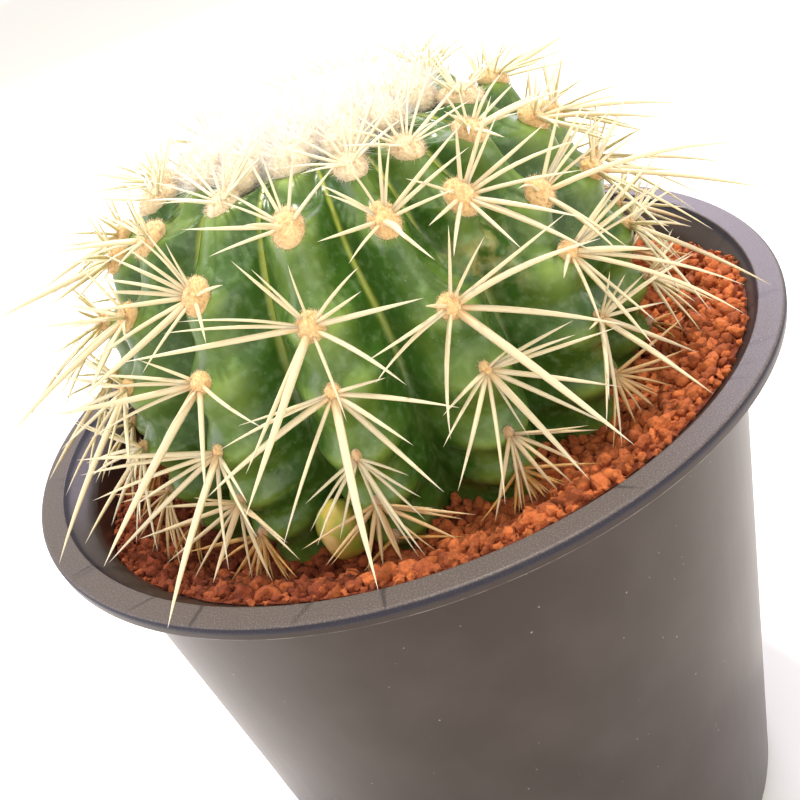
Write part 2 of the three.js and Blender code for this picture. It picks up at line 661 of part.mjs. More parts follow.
const finishes = {
  pot: new THREE.MeshStandardMaterial({ color: 0x5c5657, roughness: 0.55, metalness: 0 }),
  soil: new THREE.MeshStandardMaterial({ color: 0x8f4526, roughness: 0.95, metalness: 0 }),
  cactus: new THREE.MeshStandardMaterial({ color: 0x3d7429, roughness: 0.35, metalness: 0 }),
  crown_wool: new THREE.MeshStandardMaterial({ color: 0xf4e8bf, roughness: 0.9, metalness: 0 }),
};
const shapes = { pot: makePot, soil: makeSoil, cactus: makeCactus, crown_wool: makeCrownWool };

const plant = new THREE.Group();
for (const [name, make] of Object.entries(shapes)) {
  const mesh = new THREE.Mesh(make(), finishes[name]);
  mesh.name = name;
  plant.add(mesh);
}

export default plant;
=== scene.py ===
"""A round ribbed cactus in a round plastic pot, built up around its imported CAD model.

The pot, the soil, the stem and its bud, felt, needles and wool each have an operator of their own.
Sizes are metres in the frame of the CAD model: +Z is up, -Y is the front, and the pot stands on z = 0.
Azimuths are degrees round from the front, with the +X side positive, and latitudes are the stem's.
"""

import math
import random
from functools import partial

import bmesh
import bpy
import numpy as np
from bpy.props import FloatProperty, FloatVectorProperty, IntProperty, PointerProperty
from bpy.types import Operator, Panel, PropertyGroup
from mathutils import Matrix, Vector


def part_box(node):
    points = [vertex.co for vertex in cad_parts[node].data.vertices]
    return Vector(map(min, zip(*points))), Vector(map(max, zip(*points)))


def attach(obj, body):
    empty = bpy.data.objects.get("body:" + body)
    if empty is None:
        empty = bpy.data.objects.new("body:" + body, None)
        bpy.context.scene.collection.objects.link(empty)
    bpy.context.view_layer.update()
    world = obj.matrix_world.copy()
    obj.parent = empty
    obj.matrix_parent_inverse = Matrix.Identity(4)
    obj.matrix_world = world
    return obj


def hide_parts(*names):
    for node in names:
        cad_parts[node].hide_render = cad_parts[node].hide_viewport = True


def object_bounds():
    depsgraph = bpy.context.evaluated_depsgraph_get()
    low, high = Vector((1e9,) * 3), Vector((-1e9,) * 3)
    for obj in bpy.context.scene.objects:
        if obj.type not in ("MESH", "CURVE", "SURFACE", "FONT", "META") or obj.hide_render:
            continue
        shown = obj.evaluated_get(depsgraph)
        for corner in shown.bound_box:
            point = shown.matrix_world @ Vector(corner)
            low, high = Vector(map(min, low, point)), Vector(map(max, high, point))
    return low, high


bl_info = {
    "name": "Potted round cactus",
    "version": (1, 0, 0),
    "blender": (4, 5, 0),
    "location": "3D View > Sidebar > Cactus",
    "description": "Builds a round ribbed cactus with its needles, wool, soil and pot",
    "category": "Object",
}

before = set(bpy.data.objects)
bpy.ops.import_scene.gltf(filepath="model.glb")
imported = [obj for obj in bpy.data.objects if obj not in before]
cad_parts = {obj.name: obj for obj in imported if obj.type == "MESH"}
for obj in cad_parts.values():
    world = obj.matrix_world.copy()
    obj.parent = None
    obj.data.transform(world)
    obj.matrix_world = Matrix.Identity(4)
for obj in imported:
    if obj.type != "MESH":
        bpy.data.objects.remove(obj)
CAD_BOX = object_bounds()
MM = 0.001

# ---------------------------------------------------------------- sizes shared by the pieces

RIM_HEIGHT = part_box("pot")[1].z
RIM_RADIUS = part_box("pot")[1].x
RIM_INNER_RADIUS = RIM_RADIUS - 3.8 * MM
RIM_THICKNESS = 1.9 * MM
LIP = RIM_HEIGHT - RIM_THICKNESS
NECK_DEPTH = 4 * MM
NECK = RIM_HEIGHT - NECK_DEPTH
WALL_TOP_RADIUS = RIM_RADIUS - 6.2 * MM
WALL_THICKNESS = 1.3 * MM
WALL_TAPER = math.radians(5.5)
FLOOR_LIFT = 2.2 * MM
FLOOR_THICKNESS = 1.8 * MM
FLOOR_TOP = FLOOR_LIFT + FLOOR_THICKNESS
FOOT_RADIUS = WALL_TOP_RADIUS - NECK * math.tan(WALL_TAPER)
DRAINS = 6
DRAIN_CIRCLE = 24 * MM
# The flared throat between rim and neck: how far in from the rim's edge, and how far down, in mm.
THROAT = ((0.15, 0.5), (0.7, 1.05), (1.6, 1.75), (2.6, 2.5), (3.3, 3.3), (3.7, 4.0))

SOIL_DEPTH = 9 * MM  # from the rim down to the soil's mean level
SOIL_SLOPE = 0.068  # it stands higher on the +X side
# How far below the rim the soil meets the wall, in mm, by azimuth.
SOIL_BANK = ((-84, 9.4), (-56, 5), (-38, 2), (20, 2.2), (42, 1.5), (80, 1.5), (92, 3.2), (120, 7.5))
ROOT_HOLE_RADIUS = 9.4 * MM
ROOT_HOLE_FLOOR = 53.3 * MM

STEM_RADIUS = 42 * MM
STEM_HALF_HEIGHT = 39.5 * MM
STEM_CENTRE = RIM_HEIGHT + 6 * MM
STEM_FOOT_LATITUDE = -35
CROWN_FLATTENING = 7 * MM
CROWN_LATITUDE = 45
CROWN_SINE = math.sin(math.radians(CROWN_LATITUDE))
RIB_COUNT = 14
RIB_PITCH = 360 / RIB_COUNT
RIB_DEPTH = 0.235  # as a share of the stem's radius
FIRST_RIB = 14
CREST_ROUNDING = 0.15  # as a share of half a rib's width
FOOT_FADE = (-40, -15)  # latitudes between which the valleys grow to their full depth
INSERTED_VALLEYS = (0, 5, 9)  # valleys, counted from the first rib, that hold a younger rib
INSERTED_RISE = (16, 38)  # latitudes between which a younger rib rises
INSERTED_FIRST_STEP = 3.5
INSERTED_PUSH = 5  # degrees that it pushes the nearest ribs aside
INSERTED_PUSH_REACH = 15
FIRST_AREOLE_LATITUDE = -7
AREOLE_STEP = 11.2
AREOLE_STEP_GROWTH = 0.65
CORK_LATITUDE, CORK_WIDTH, CORK_HEIGHT = 24, 6, 7  # degrees
CAP_RADIUS = 19.5 * MM
CAP_THICKNESS = 2.8 * MM
FELT_SEED = 11

MATURE_RIBS = [FIRST_RIB + index * RIB_PITCH for index in range(RIB_COUNT)]
YOUNG_RIBS = [FIRST_RIB + (valley + 0.5) * RIB_PITCH for valley in INSERTED_VALLEYS]

# Latitudes of the areoles on the ribs that face the camera, from the soil up. The other ribs
# follow the rule in rib_rows. Rib 14 is the first younger one.
FRONT_ROWS = {
    12: (-12.4, -3, 8.5, 22, 37.5, 58.5),
    13: (-17.6, -7, 3.8, 16.5, 28.5, 46.7),
    0: (-12.2, -3.4, 10.3, 23.1, 41.4, 57.9),
    1: (-17.5, -7.5, 5.5, 19.5, 31, 48.5),
    14: (38.7, 54.8),
}

# The photograph's camera, fitted to the pot's rim and wall.
PICTURE_SIDE = 800
FOCAL_LENGTH = 1010.1  # in pixels of the picture
CAMERA_DISTANCE = 162.9 * MM
CAMERA_ELEVATION = math.radians(26.55)
CAMERA_ROLL = math.radians(21.05)
CAMERA_PAN = math.radians(0.53)
CAMERA_TILT = math.radians(2.77)


# ---------------------------------------------------------------- settings


def linear(hex_value):
    """An sRGB hex value such as "#336699" as linear red, green, blue and alpha."""
    channels = [int(hex_value[i : i + 2], 16) / 255 for i in (1, 3, 5)]
    return (*[c / 12.92 if c <= 0.04045 else ((c + 0.055) / 1.055) ** 2.4 for c in channels], 1.0)


def colour_setting(name, description, default):
    """A colour that the user picks, given as the sRGB hex value of its default."""
    start = linear(default)
    return FloatVectorProperty(
        name=name, description=description, default=start, size=4, min=0, max=1, subtype="COLOR"
    )


def length_setting(name, description, default):
    """A length that the user sets."""
    return FloatProperty(name=name, description=description, default=default, min=0, unit="LENGTH")


class CactusPotSettings(PropertyGroup):
    """The moulded plastic pot"""

    sides: IntProperty(name="Sides", description="Faces round the pot", default=176, min=32)
    edge: length_setting("Edge radius", "Rounding of the rim's edges", 0.55 * MM)
    drain_radius: length_setting("Drain hole radius", "Radius of each hole in the floor", 4.5 * MM)
    plastic: colour_setting("Plastic", "Charcoal colour of the moulded plastic", "#2b221e")
    dust: colour_setting("Dust", "Pale dust that lies on the plastic", "#b5a8a4")


class CactusSoilSettings(PropertyGroup):
    """The granular soil"""

    granule: length_setting("Granule size", "Width of a large granule", 3.1 * MM)
    grit: length_setting("Grit size", "Width of a small crumb", 1.5 * MM)
    light: colour_setting("Dry granule", "Colour of a dry granule", "#cd7039")
    # The dark colour also serves as painted shade on the -X side and in the bed between the granules.
    dark: colour_setting("Moist granule", "Colour of a moist granule", "#7c3517")


class CactusStemSettings(PropertyGroup):
    """The ribbed green stem"""

    rib_depth: FloatProperty(
        name="Rib depth",
        description="Depth of a valley as a share of the stem's radius",
        default=RIB_DEPTH,
        min=0,
        max=0.5,
    )
    tubercle: length_setting("Tubercle dip", "How far a crest sinks between areoles", 1.7 * MM)
    flank: colour_setting("Flank", "Deep green of the rib flanks", "#395c1b")
    # The crest colour is the painted highlight of the crests and of the swellings under the areoles.
    crest: colour_setting("Crest", "Lighter green of the swellings under the areoles", "#829c41")
    valley: colour_setting("Valley", "Yellow-green of the folds between the upper ribs", "#a9b23c")


class CactusFeltSettings(PropertyGroup):
    """The felt pads of the areoles"""

    width: length_setting("Pad width", "Width of a full-grown pad", 3.7 * MM)
    height: length_setting("Pad height", "Height of a full-grown pad", 5.5 * MM)
    thickness: length_setting("Pad thickness", "How far a pad stands out", 1.5 * MM)
    young: colour_setting("Young felt", "Cream colour near the crown", "#fae9cb")
    grown: colour_setting("Grown felt", "Tan colour of the middle areoles", "#f2cd92")
    old: colour_setting("Old felt", "Greyish colour near the soil", "#b0927d")


class CactusNeedleSettings(PropertyGroup):
    """The needles"""

    length_share: FloatProperty(
        name="Length", description="Length as a share of the real needles'", default=1, min=0.1, max=1.2
    )
    curl: FloatProperty(name="Curl", description="Bend of a needle: 0 is straight", default=0.16, min=0)
    seed: IntProperty(name="Seed", description="Seed of the needles' small differences", default=5)
    shaft: colour_setting("Shaft", "Cream colour of the outer part", "#dccca8")
    base: colour_setting("Base", "Warm colour where a needle leaves the felt", "#d3a565")
    old: colour_setting("Old needles", "Straw colour of those near the soil", "#bd8536")


class CactusCrownSettings(PropertyGroup):
    """The woolly crown"""

    hair_length: length_setting("Hair length", "Length of a grown hair", 1.8 * MM)
    density: FloatProperty(name="Density", description="Hairs on each square metre", default=1.5e7, min=0)
    wool: colour_setting("Wool", "Cream white of the wool", "#fff9e9")


class CactusStageSettings(PropertyGroup):
    """Floor, light and camera"""

    floor: colour_setting("Floor", "Pale colour of the floor", "#fbf9f5")
    key: FloatProperty(name="Key light", description="Power of the lamp overhead", default=8.4, unit="POWER")
    fill: FloatProperty(name="Fill light", description="Power of the front lamp", default=3.1, unit="POWER")
    sky: FloatProperty(name="Room light", description="Strength of the light from all around", default=1.02)


# ---------------------------------------------------------------- nodes and meshes


def node(tree, kind, inputs=(), **settings):
    """Adds a node. An input is a value, a hex colour, or a node or an output of one to link.

    The kind is given without its prefix. Inputs come by name or number, or in the node's own
    order. A node that is linked gives its first output in use.
    """
    prefixes = ("ShaderNode", "GeometryNode", "FunctionNode", "Node")
    made = tree.nodes.new(next(prefix + kind for prefix in prefixes if hasattr(bpy.types, prefix + kind)))
    for name, value in settings.items():
        setattr(made, name, value)
    for socket, value in inputs.items() if isinstance(inputs, dict) else enumerate(inputs):
        if isinstance(value, bpy.types.Node):
            value = next(output for output in value.outputs if output.enabled)
        if isinstance(value, bpy.types.NodeSocket):
            tree.links.new(value, made.inputs[socket])
        else:
            is_colour = isinstance(value, str) and value.startswith("#")
            made.inputs[socket].default_value = linear(value) if is_colour else value
    return made


def geometry_tree(name, sizes):
    """An empty Geometry Nodes tree with a number for each size: the tree, its node adder and inputs."""
    tree = bpy.data.node_groups.new(name, "GeometryNodeTree")
    tree.interface.new_socket("Geometry", in_out="INPUT", socket_type="NodeSocketGeometry")
    tree.interface.new_socket("Geometry", in_out="OUTPUT", socket_type="NodeSocketGeometry")
    for label in sizes:
        tree.interface.new_socket(label, in_out="INPUT", socket_type="NodeSocketFloat")
    return tree, partial(node, tree), tree.nodes.new("NodeGroupInput").outputs


def strewn(add, points, instance, turn, scale):
    """Puts a real copy of an instance on each point, turned and scaled."""
    placing = {"Points": points, "Instance": instance, "Rotation": turn, "Scale": scale}
    return add("RealizeInstances", [add("InstanceOnPoints", placing)])


def embossed(add, mesh, pattern, height):
    """Moves a mesh along its normals by a pattern times a height."""
    lift = add("Math", [pattern, height], operation="MULTIPLY")
    offset = add("VectorMath", {0: add("InputNormal"), "Scale": lift}, operation="SCALE")
    return add("SetPosition", {"Geometry": mesh, "Offset": offset})


def finished(tree, geometry, finish):
    """Ends a tree: instances become real, and the mesh gets its material."""
    real = node(tree, "RealizeInstances", [geometry])
    painted = node(tree, "SetMaterial", {"Geometry": real, "Material": finish})
    node(tree, "GroupOutput", [painted])
    return tree


def grow(piece, tree, sizes):
    """Runs a tree on a piece with these sizes, and keeps the result as the piece's plain mesh."""
    modifier = piece.modifiers.new(tree.name, "NODES")
    modifier.node_group = tree
    for item in tree.interface.items_tree:
        if item.name in sizes:
            modifier[item.identifier] = float(sizes[item.name])
    keep_result(piece)
    piece.data.shade_smooth()


def keep_result(piece):
    """Makes what the piece's modifier gives its plain mesh, and takes the modifier away."""
    bpy.context.view_layer.update()
    evaluated = piece.evaluated_get(bpy.context.evaluated_depsgraph_get())
    mesh = bpy.data.meshes.new_from_object(evaluated)
    piece.modifiers.clear()
    piece.data = mesh
    if not mesh.polygons:
        raise RuntimeError(f"{piece.name} came out of its modifier empty")


def new_piece(name, points, faces=(), finish=None):
    """A mesh object at the origin, with its place in its points."""
    mesh = bpy.data.meshes.new(name)
    mesh.from_pydata([tuple(p) for p in points], [], [tuple(f) for f in faces])
    mesh.update()
    piece = bpy.data.objects.new(name, mesh)
    bpy.context.scene.collection.objects.link(piece)
    if finish:
        mesh.materials.append(finish)
    if faces:
        mesh.shade_smooth()
    return piece


def copied(piece, name):
    """A new piece with a copy of this one's mesh."""
    made = new_piece(name, [])
    made.data = piece.data.copy()
    return made


def marked_points(name, labels, rows):
    """A piece of loose points. Each row is a point and its values, which are kept under the labels."""
    piece = new_piece(name, [row[0] for row in rows])
    for label, values in zip(labels, list(zip(*rows))[1:]):
        store(piece, label, values)
    return piece


def store(piece, name, values):
    """Keeps a number or vector for each point of a piece, for node trees and materials to read."""
    values = np.asarray(values, np.float32)
    kind, field = ("FLOAT", "value") if values.ndim == 1 else ("FLOAT_VECTOR", "vector")
    piece.data.attributes.new(name, kind, "POINT").data.foreach_set(field, values.ravel())


def reshape(piece, change):
    """Lets a function change a piece's mesh in its editable form."""
    shape = bmesh.new()
    shape.from_mesh(piece.data)
    change(shape)
    shape.to_mesh(piece.data)
    shape.free()


def closed_grid_faces(rings, columns):
    """Faces of a closed skin: a top pole, then rings of points from the top down, then a bottom pole."""
    low = 1 + (rings - 1) * columns
    faces = []
    for column in range(columns):
        beside = (column + 1) % columns
        faces.append((0, 1 + column, 1 + beside))
        faces.append((low + column, low + columns, low + beside))
        for top in range(1, low, columns):
            under = top + columns
            faces.append((top + column, under + column, under + beside, top + beside))
    return faces


def dress(piece, stands_for):
    """Puts a finished piece on the model's body, in place of the CAD node that it stands for."""
    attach(piece, "root")
    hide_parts(stands_for)


# ---------------------------------------------------------------- materials


def surface(name, *marks):
    """A new material, its node adder, the place on the object, and the piece's own marks to read."""
    made = bpy.data.materials.new(name)
    made.use_nodes = True
    made.node_tree.nodes.clear()
    add = partial(node, made.node_tree)
    read = [add("Attribute", attribute_name=mark).outputs["Fac"] for mark in marks]
    return made, add, add("TexCoord").outputs["Object"], *read


def coated(material, paint, layers, sockets):
    """Ends a material: colours laid over a first one, each by its share, in one Principled shader."""
    add = partial(node, material.node_tree)
    for share, tint in layers:
        paint = add("Mix", {0: share, 6: paint, 7: tint}, data_type="RGBA")
    add("OutputMaterial", [add("BsdfPrincipled", {"Base Color": paint, **sockets})])
    return material


def pot_plastic(settings):
    """Polypropylene, injection moulded and pigmented with carbon black: a satin charcoal skin.

    The rim's top comes from a grained part of the mould, and the wall from a smooth one. The rim's
    rounded edge carries a painted reflection, a dark blue line, and along its lowest edge runs a
    thin painted highlight. Dust gathers on the plastic in pale specks, and it picks up faint rubs
    where it was handled. Little light gets down the inside of the wall, so a painted shade darkens it.
    """
    made, add, place = surface("Moulded polypropylene")
    height = add("SeparateXYZ", [place]).outputs["Z"]
    rubbed = add("Mapping", {"Vector": place, "Scale": (1, 1, 0.12)})
    specks = add("TexVoronoi", {"Vector": place, "Scale": 1 / (1.9 * MM)})
    clouds, rubs, grain, patches = (
        add("TexNoise", {"Vector": vector, "Scale": 1 / (width * MM), "Detail": detail})
        for vector, width, detail in ((place, 12, 8), (rubbed, 1.6, 3), (place, 0.2, 1), (place, 3, 4))
    )
    # Where each part of the skin starts and ends, by how far under the rim's top it is, in mm.
    rim, over, under, shade = (
        add("MapRange", [height, RIM_HEIGHT - start * MM, RIM_HEIGHT - end * MM, low, high])
        for start, end, low, high in ((1.2, 0.3, 0, 1), (1.2, 0.7, 0, 1), (0.2, 0.1, 1, 0), (2.6, 6, 0, 0.7))
    )
    chance = add("SeparateColor", [specks.outputs["Color"]]).outputs["Red"]
    kept = add("MapRange", [chance, 0.65, 1, 0, 1])
    speck = add("MapRange", [specks, 0.1, 0.03, 0, 0.75])
    haze = add("MapRange", [clouds, 0.4, 0.75, 0, 0.035])
    grains = add("MapRange", [grain, 0.5, 0.72, 0, 0.17])
    dusty = add("Math", [speck, kept], operation="MULTIPLY")
    veil = add("Math", [grains, 0.12], operation="ADD")
    veil = add("Math", [veil, rim], operation="MULTIPLY")
    veil = add("Math", [veil, haze], operation="MAXIMUM")
    veil = add("Math", [veil, 0.03], operation="ADD")
    veil = add("Math", [veil, dusty], operation="MAXIMUM", use_clamp=True)

    level = add("Mapping", {"Vector": place, "Scale": (1, 1, 0)})
    radius = add("VectorMath", [level], operation="LENGTH")
    # Painted shade: the inside of the wall darkens from a few millimetres under the rim downwards.
    within_wall = FOOT_RADIUS - 0.6 * MM
    bore = add("Math", [height, math.tan(WALL_TAPER), within_wall], operation="MULTIPLY_ADD")
    inside = add("Math", [radius, bore], operation="LESS_THAN")
    inside = add("Math", [inside, shade], operation="MULTIPLY")
    # Painted reflection: a dark blue line along the rim's rounded edge.
    edge = add("Math", [over, under], operation="MULTIPLY")
    painted_edge_reflection = add("Math", [edge, 0.75], operation="MULTIPLY")
    # Painted highlight: a thin pale line along the lip's lowest edge, in the dust colour, broken up by
    # patches.
    painted_lip_highlight = add("MapRange", [height, LIP + 0.1 * MM, LIP + 0.22 * MM, 0.5, 0])
    outer = add("Math", [radius, RIM_RADIUS - 1.5 * MM], operation="GREATER_THAN")
    above = add("Math", [height, LIP - 0.05 * MM], operation="GREATER_THAN")
    patch = add("MapRange", [patches, 0.42, 0.62, 0.15, 1])
    for share in (outer, above, patch):
        painted_lip_highlight = add("Math", [painted_lip_highlight, share], operation="MULTIPLY")

    rough = add("MapRange", [rubs, 0.3, 0.7, 0.315, 0.335])
    rim_depth = add("MapRange", [rim, 0, 1, 0.05, 0.25])
    bumps = add("Math", [grain, rim_depth], operation="MULTIPLY")
    layers = ((veil, settings.dust), (inside, "#120c09"), (painted_edge_reflection, "#1f2233"), (painted_lip_highlight, settings.dust))
    return coated(made, settings.plastic, layers, {
        "Roughness": add("Math", [rim, 0.1, rough], operation="MULTIPLY_ADD"),
        "Specular IOR Level": add("MapRange", [edge, 0, 1, 0.26, 0.12]),
        "Specular Tint": add("Mix", {0: rim, 6: "#fff1e0", 7: "#ffffff"}, data_type="RGBA"),
        "Normal": add("Bump", {"Strength": 0.8, "Distance": 0.12 * MM, "Height": bumps}),
    })


def cactus_skin(settings):
    """Living skin under a wax cuticle: a deep, uneven green with a soft gloss.

    The folds between the upper ribs are the newest skin, so they are yellow-green. The crests and
    the swelling under each areole carry a painted highlight, a paler green, and the wax shows as a
    milky bloom and small pale points.
    """
    marks = ("section", "swelling", "fresh", "cork")
    made, add, place, section, crest_highlight, fresh, corky = surface("Waxy cactus skin", *marks)
    clouds, mottle, patches, lumps = (
        add("TexNoise", {"Vector": place, "Scale": 1 / (width * MM), "Detail": detail})
        for width, detail in ((7, 6), (1.4, 4), (2.2, 5), (3.6, 2))
    )
    points = add("TexVoronoi", {"Vector": place, "Scale": 1 / (1.1 * MM)})
    uneven = add("Math", [clouds, 1.5, -0.77], operation="MULTIPLY_ADD")
    # Painted highlight: the crests and the swellings under the areoles are lightened to the crest green.
    pale = add("Math", [crest_highlight, uneven], operation="ADD", use_clamp=True)
    fold = add("MapRange", [section, 0.15, 0.02, 0, 0.9])
    fold = add("Math", [fold, fresh], operation="MULTIPLY")
    patch = add("MapRange", [patches, 0.42, 0.6, 0, 0.85])
    patch = add("Math", [patch, corky], operation="MULTIPLY")
    point = add("MapRange", [points, 0.14, 0.05, 0, 0.5])
    rarely = add("Math", [mottle, 0.53], operation="GREATER_THAN")
    point = add("Math", [point, rarely], operation="MULTIPLY")
    bloom = add("MapRange", [mottle, 0.48, 0.8, 0, 0.3])
    milky = add("Math", [point, bloom], operation="MAXIMUM")
    relief = add("Math", [lumps, 2.6, patch], operation="MULTIPLY_ADD")
    relief = add("Math", [mottle, relief], operation="ADD")
    layers = ((pale, settings.crest), (fold, settings.valley), (patch, "#aba263"), (milky, "#9dbb86"))
    return coated(made, settings.flank, layers, {
        "Roughness": add("MapRange", [clouds, 0.3, 0.7, 0.22, 0.38]),
        "Normal": add("Bump", {"Strength": 0.5, "Distance": 0.12 * MM, "Height": relief}),
        "Subsurface Weight": 0.04,
        "Subsurface Radius": (0.4, 1.0, 0.2),
        "Subsurface Scale": 1.2 * MM,
    })


def needle_horn(settings):
    """A spine is hardened dead tissue, smooth and horny: cream and a little see-through at its edges.

    It is warm brown where it leaves the felt, and the oldest ones near the soil weather to straw.
    Those of the crown have not hardened yet, so they are paler, and a painted highlight lightens
    them, and the needles near the crown, to nearly white.
    """
    made, add, place, along, age = surface("Horny spine", "along", "age")
    fleck = add("TexNoise", {"Vector": place, "Scale": 1 / (0.9 * MM), "Detail": 3})
    root = add("MapRange", [along, 0, 0.11, 0.75, 0])
    aged = add("Math", [fleck, 0.6, 0.6], operation="MULTIPLY_ADD")
    aged = add("Math", [aged, age], operation="MULTIPLY", use_clamp=True)
    # Painted highlight: a negative age lightens a needle towards white, most in the crown.
    youth = add("MapRange", [age, 0, -1, 0, 1])
    layers = ((root, settings.base), (aged, settings.old), (youth, "#fff2d6"))
    return coated(made, settings.shaft, layers, {
        "Roughness": 0.42,
        "IOR": 1.5,
        "Normal": add("Bump", {"Strength": 0.35, "Distance": 0.05 * MM, "Height": fleck}),
        "Subsurface Weight": 0.5,
        "Subsurface Radius": (1.0, 0.85, 0.55),
        "Subsurface Scale": 1.0 * MM,
    })


def areole_felt(settings):
    """Felt of short dense hairs: dull and soft, cream when young, then tan, and greyish when old."""
    made, add, place, age, upper = surface("Areole felt", "age", "upper")
    tufts = add("TexNoise", {"Vector": place, "Scale": 1 / (0.5 * MM), "Detail": 4})
    grown = add("MapRange", [age, 0, 0.45, 0, 1])
    lower = add("MapRange", [upper, 0.02, -0.3, 0, 0.75])
    weathered = add("MapRange", [age, 0.45, 0.7, 0, 1])
    lower = add("Math", [lower, weathered], operation="MULTIPLY")
    old = add("MapRange", [age, 0.6, 1, 0, 0.7])
    old = add("Math", [old, lower], operation="MAXIMUM")
    rust = add("MapRange", [tufts, 0.5, 0.64, 0, 0.5])
    rust = add("Math", [rust, grown], operation="MULTIPLY")
    layers = ((grown, settings.grown), (old, settings.old), (rust, "#cf8f40"))
    return coated(made, settings.young, layers, {
        "Roughness": 0.95,
        "Normal": add("Bump", {"Strength": 0.9, "Distance": 0.2 * MM, "Height": tufts}),
        "Subsurface Weight": 0.2,
        "Subsurface Radius": (1.0, 0.8, 0.6),
        "Subsurface Scale": 0.8 * MM,
        "Sheen Weight": 0.35,
        "Sheen Roughness": 0.5,
    })


def crown_wool(settings):
    """Loose wool of the growing point: fine cream hairs that scatter light, so it is nearly white."""
    made, add, place = surface("Cream wool")
    locks = add("TexNoise", {"Vector": place, "Scale": 1 / (2.4 * MM), "Detail": 4})
    deep = add("MapRange", [locks, 0.35, 0.55, 0.5, 0])
    return coated(made, settings.wool, [(deep, "#fcefcf")], {
        "Roughness": 0.9,
        "Subsurface Weight": 0.7,
        "Subsurface Radius": (1.0, 0.92, 0.75),
        "Subsurface Scale": 2.5 * MM,
        "Sheen Weight": 0.4,
    })


def clay_granules(settings):
    """Red clay granules, rolled and lightly fired: dull, porous and crumbly, darker where damp and in painted
    shade.
    """
    made, add, place, tone = surface("Baked clay granules", "tone")
    pores = add("TexNoise", {"Vector": place, "Scale": 1 / (0.6 * MM), "Detail": 6})
    crumbs = add("TexVoronoi", {"Vector": place, "Scale": 1 / (0.7 * MM)})
    # Dark share from the granule's tone, which holds damp patches and the painted shade, and from its pores.
    damp_and_shade = add("Math", [pores, 0.8, -0.4], operation="MULTIPLY_ADD")
    damp_and_shade = add("Math", [tone, damp_and_shade], operation="ADD", use_clamp=True)
    relief = add("Math", [crumbs, pores], operation="ADD")
    return coated(made, settings.light, [(damp_and_shade, settings.dark)], {
        "Roughness": 0.92,
        "Normal": add("Bump", {"Strength": 1, "Distance": 0.25 * MM, "Height": relief}),
    })


def bud_skin(spot):
    """Skin of a young side shoot that has stayed small: yellowish and dull, with one corky spot."""
    made, add, place = surface("Young yellow-green skin")
    clouds = add("TexNoise", {"Vector": place, "Scale": 1 / (3 * MM), "Detail": 5})
    ripe = add("MapRange", [clouds, 0.38, 0.66, 0, 1])
    off = add("VectorMath", [place, spot], operation="DISTANCE")
    frayed = add("Math", [clouds, 2.4 * MM, off], operation="MULTIPLY_ADD")
    scar = add("MapRange", [frayed, 3 * MM, 2.4 * MM, 0, 0.85])
    bump = add("Bump", {"Strength": 0.6, "Distance": 0.2 * MM, "Height": clouds})
    layers = ((ripe, "#c4ab4e"), (scar, "#dcb878"))
    return coated(made, "#8a9a30", layers, {"Roughness": 0.5, "Normal": bump})


def floor_paint(settings):
    """Matt studio paint: a plain pale floor with a faint unevenness."""
    made, add, place = surface("Matt floor paint")
    roller = add("TexNoise", {"Vector": place, "Scale": 1 / (60 * MM)})
    shade = add("MapRange", [roller, 0, 1, 0, 0.05])
    return coated(made, settings.floor, [(shade, "#dcd8d0")], {"Roughness": 0.8})


# ---------------------------------------------------------------- shape of the stem and the soil


def smoothstep(low, high, value):
    """0 below low, 1 above high, and smooth between."""
    share = np.clip((np.asarray(value, float) - low) / (high - low), 0, 1)
    return share * share * (3 - 2 * share)


def wrapped(angle):
    """An angle in degrees, from -180 to 180."""
    return (np.asarray(angle, float) + 180) % 360 - 180


def around(azimuth, radius, height):
    """A point by its azimuth, radius and height."""
    turn = math.radians(azimuth)
    return Vector((radius * math.sin(turn), -radius * math.cos(turn), height))


def areole_latitude(step):
    """Latitude of step n up a rib. Steps get wider towards the crown."""
    return FIRST_AREOLE_LATITUDE + AREOLE_STEP * step + AREOLE_STEP_GROWTH * step * step


def rib_rows(index):
    """Latitudes of a rib's areoles from the soil up. Neighbouring ribs are half a step apart."""
    if index in FRONT_ROWS:
        return FRONT_ROWS[index]
    if index >= RIB_COUNT:
        return [areole_latitude(INSERTED_FIRST_STEP + extra) for extra in (0, 1)]
    return [areole_latitude(step) for step in np.arange(-1 if index % 2 else -0.5, 5)]


def pushed(azimuth, latitude):
    """Where an azimuth lies once the younger ribs have pushed their neighbours aside."""
    shift = 0
    for young in YOUNG_RIBS:
        off = wrapped(azimuth - young)
        near = np.minimum(1, np.abs(off) / (RIB_PITCH / 2))
        far = np.maximum(0, np.abs(off) - RIB_PITCH / 2)
        shift = shift + np.sign(off) * near * INSERTED_PUSH * np.exp(-far / INSERTED_PUSH_REACH)
    return azimuth + shift * smoothstep(*INSERTED_RISE, latitude)


def envelope(latitude):
    """Radius and height of the rib crests at a latitude. The crown is pressed down a little."""
    sine = math.sin(math.radians(latitude))
    radius = STEM_RADIUS * math.cos(math.radians(latitude))
    pressed = CROWN_FLATTENING * max(0, (sine - CROWN_SINE) / (1 - CROWN_SINE)) ** 1.5
    return radius, STEM_CENTRE + STEM_HALF_HEIGHT * sine - pressed


def crest_height(radius):
    """Height of the rib crests of the crown at a radius."""
    return envelope(math.degrees(math.acos(radius / STEM_RADIUS)))[1]


def off_crests(azimuth, crests):
    """How far an azimuth is from each of these crests."""
    return np.array([np.abs(wrapped(azimuth - crest)) for crest in crests])


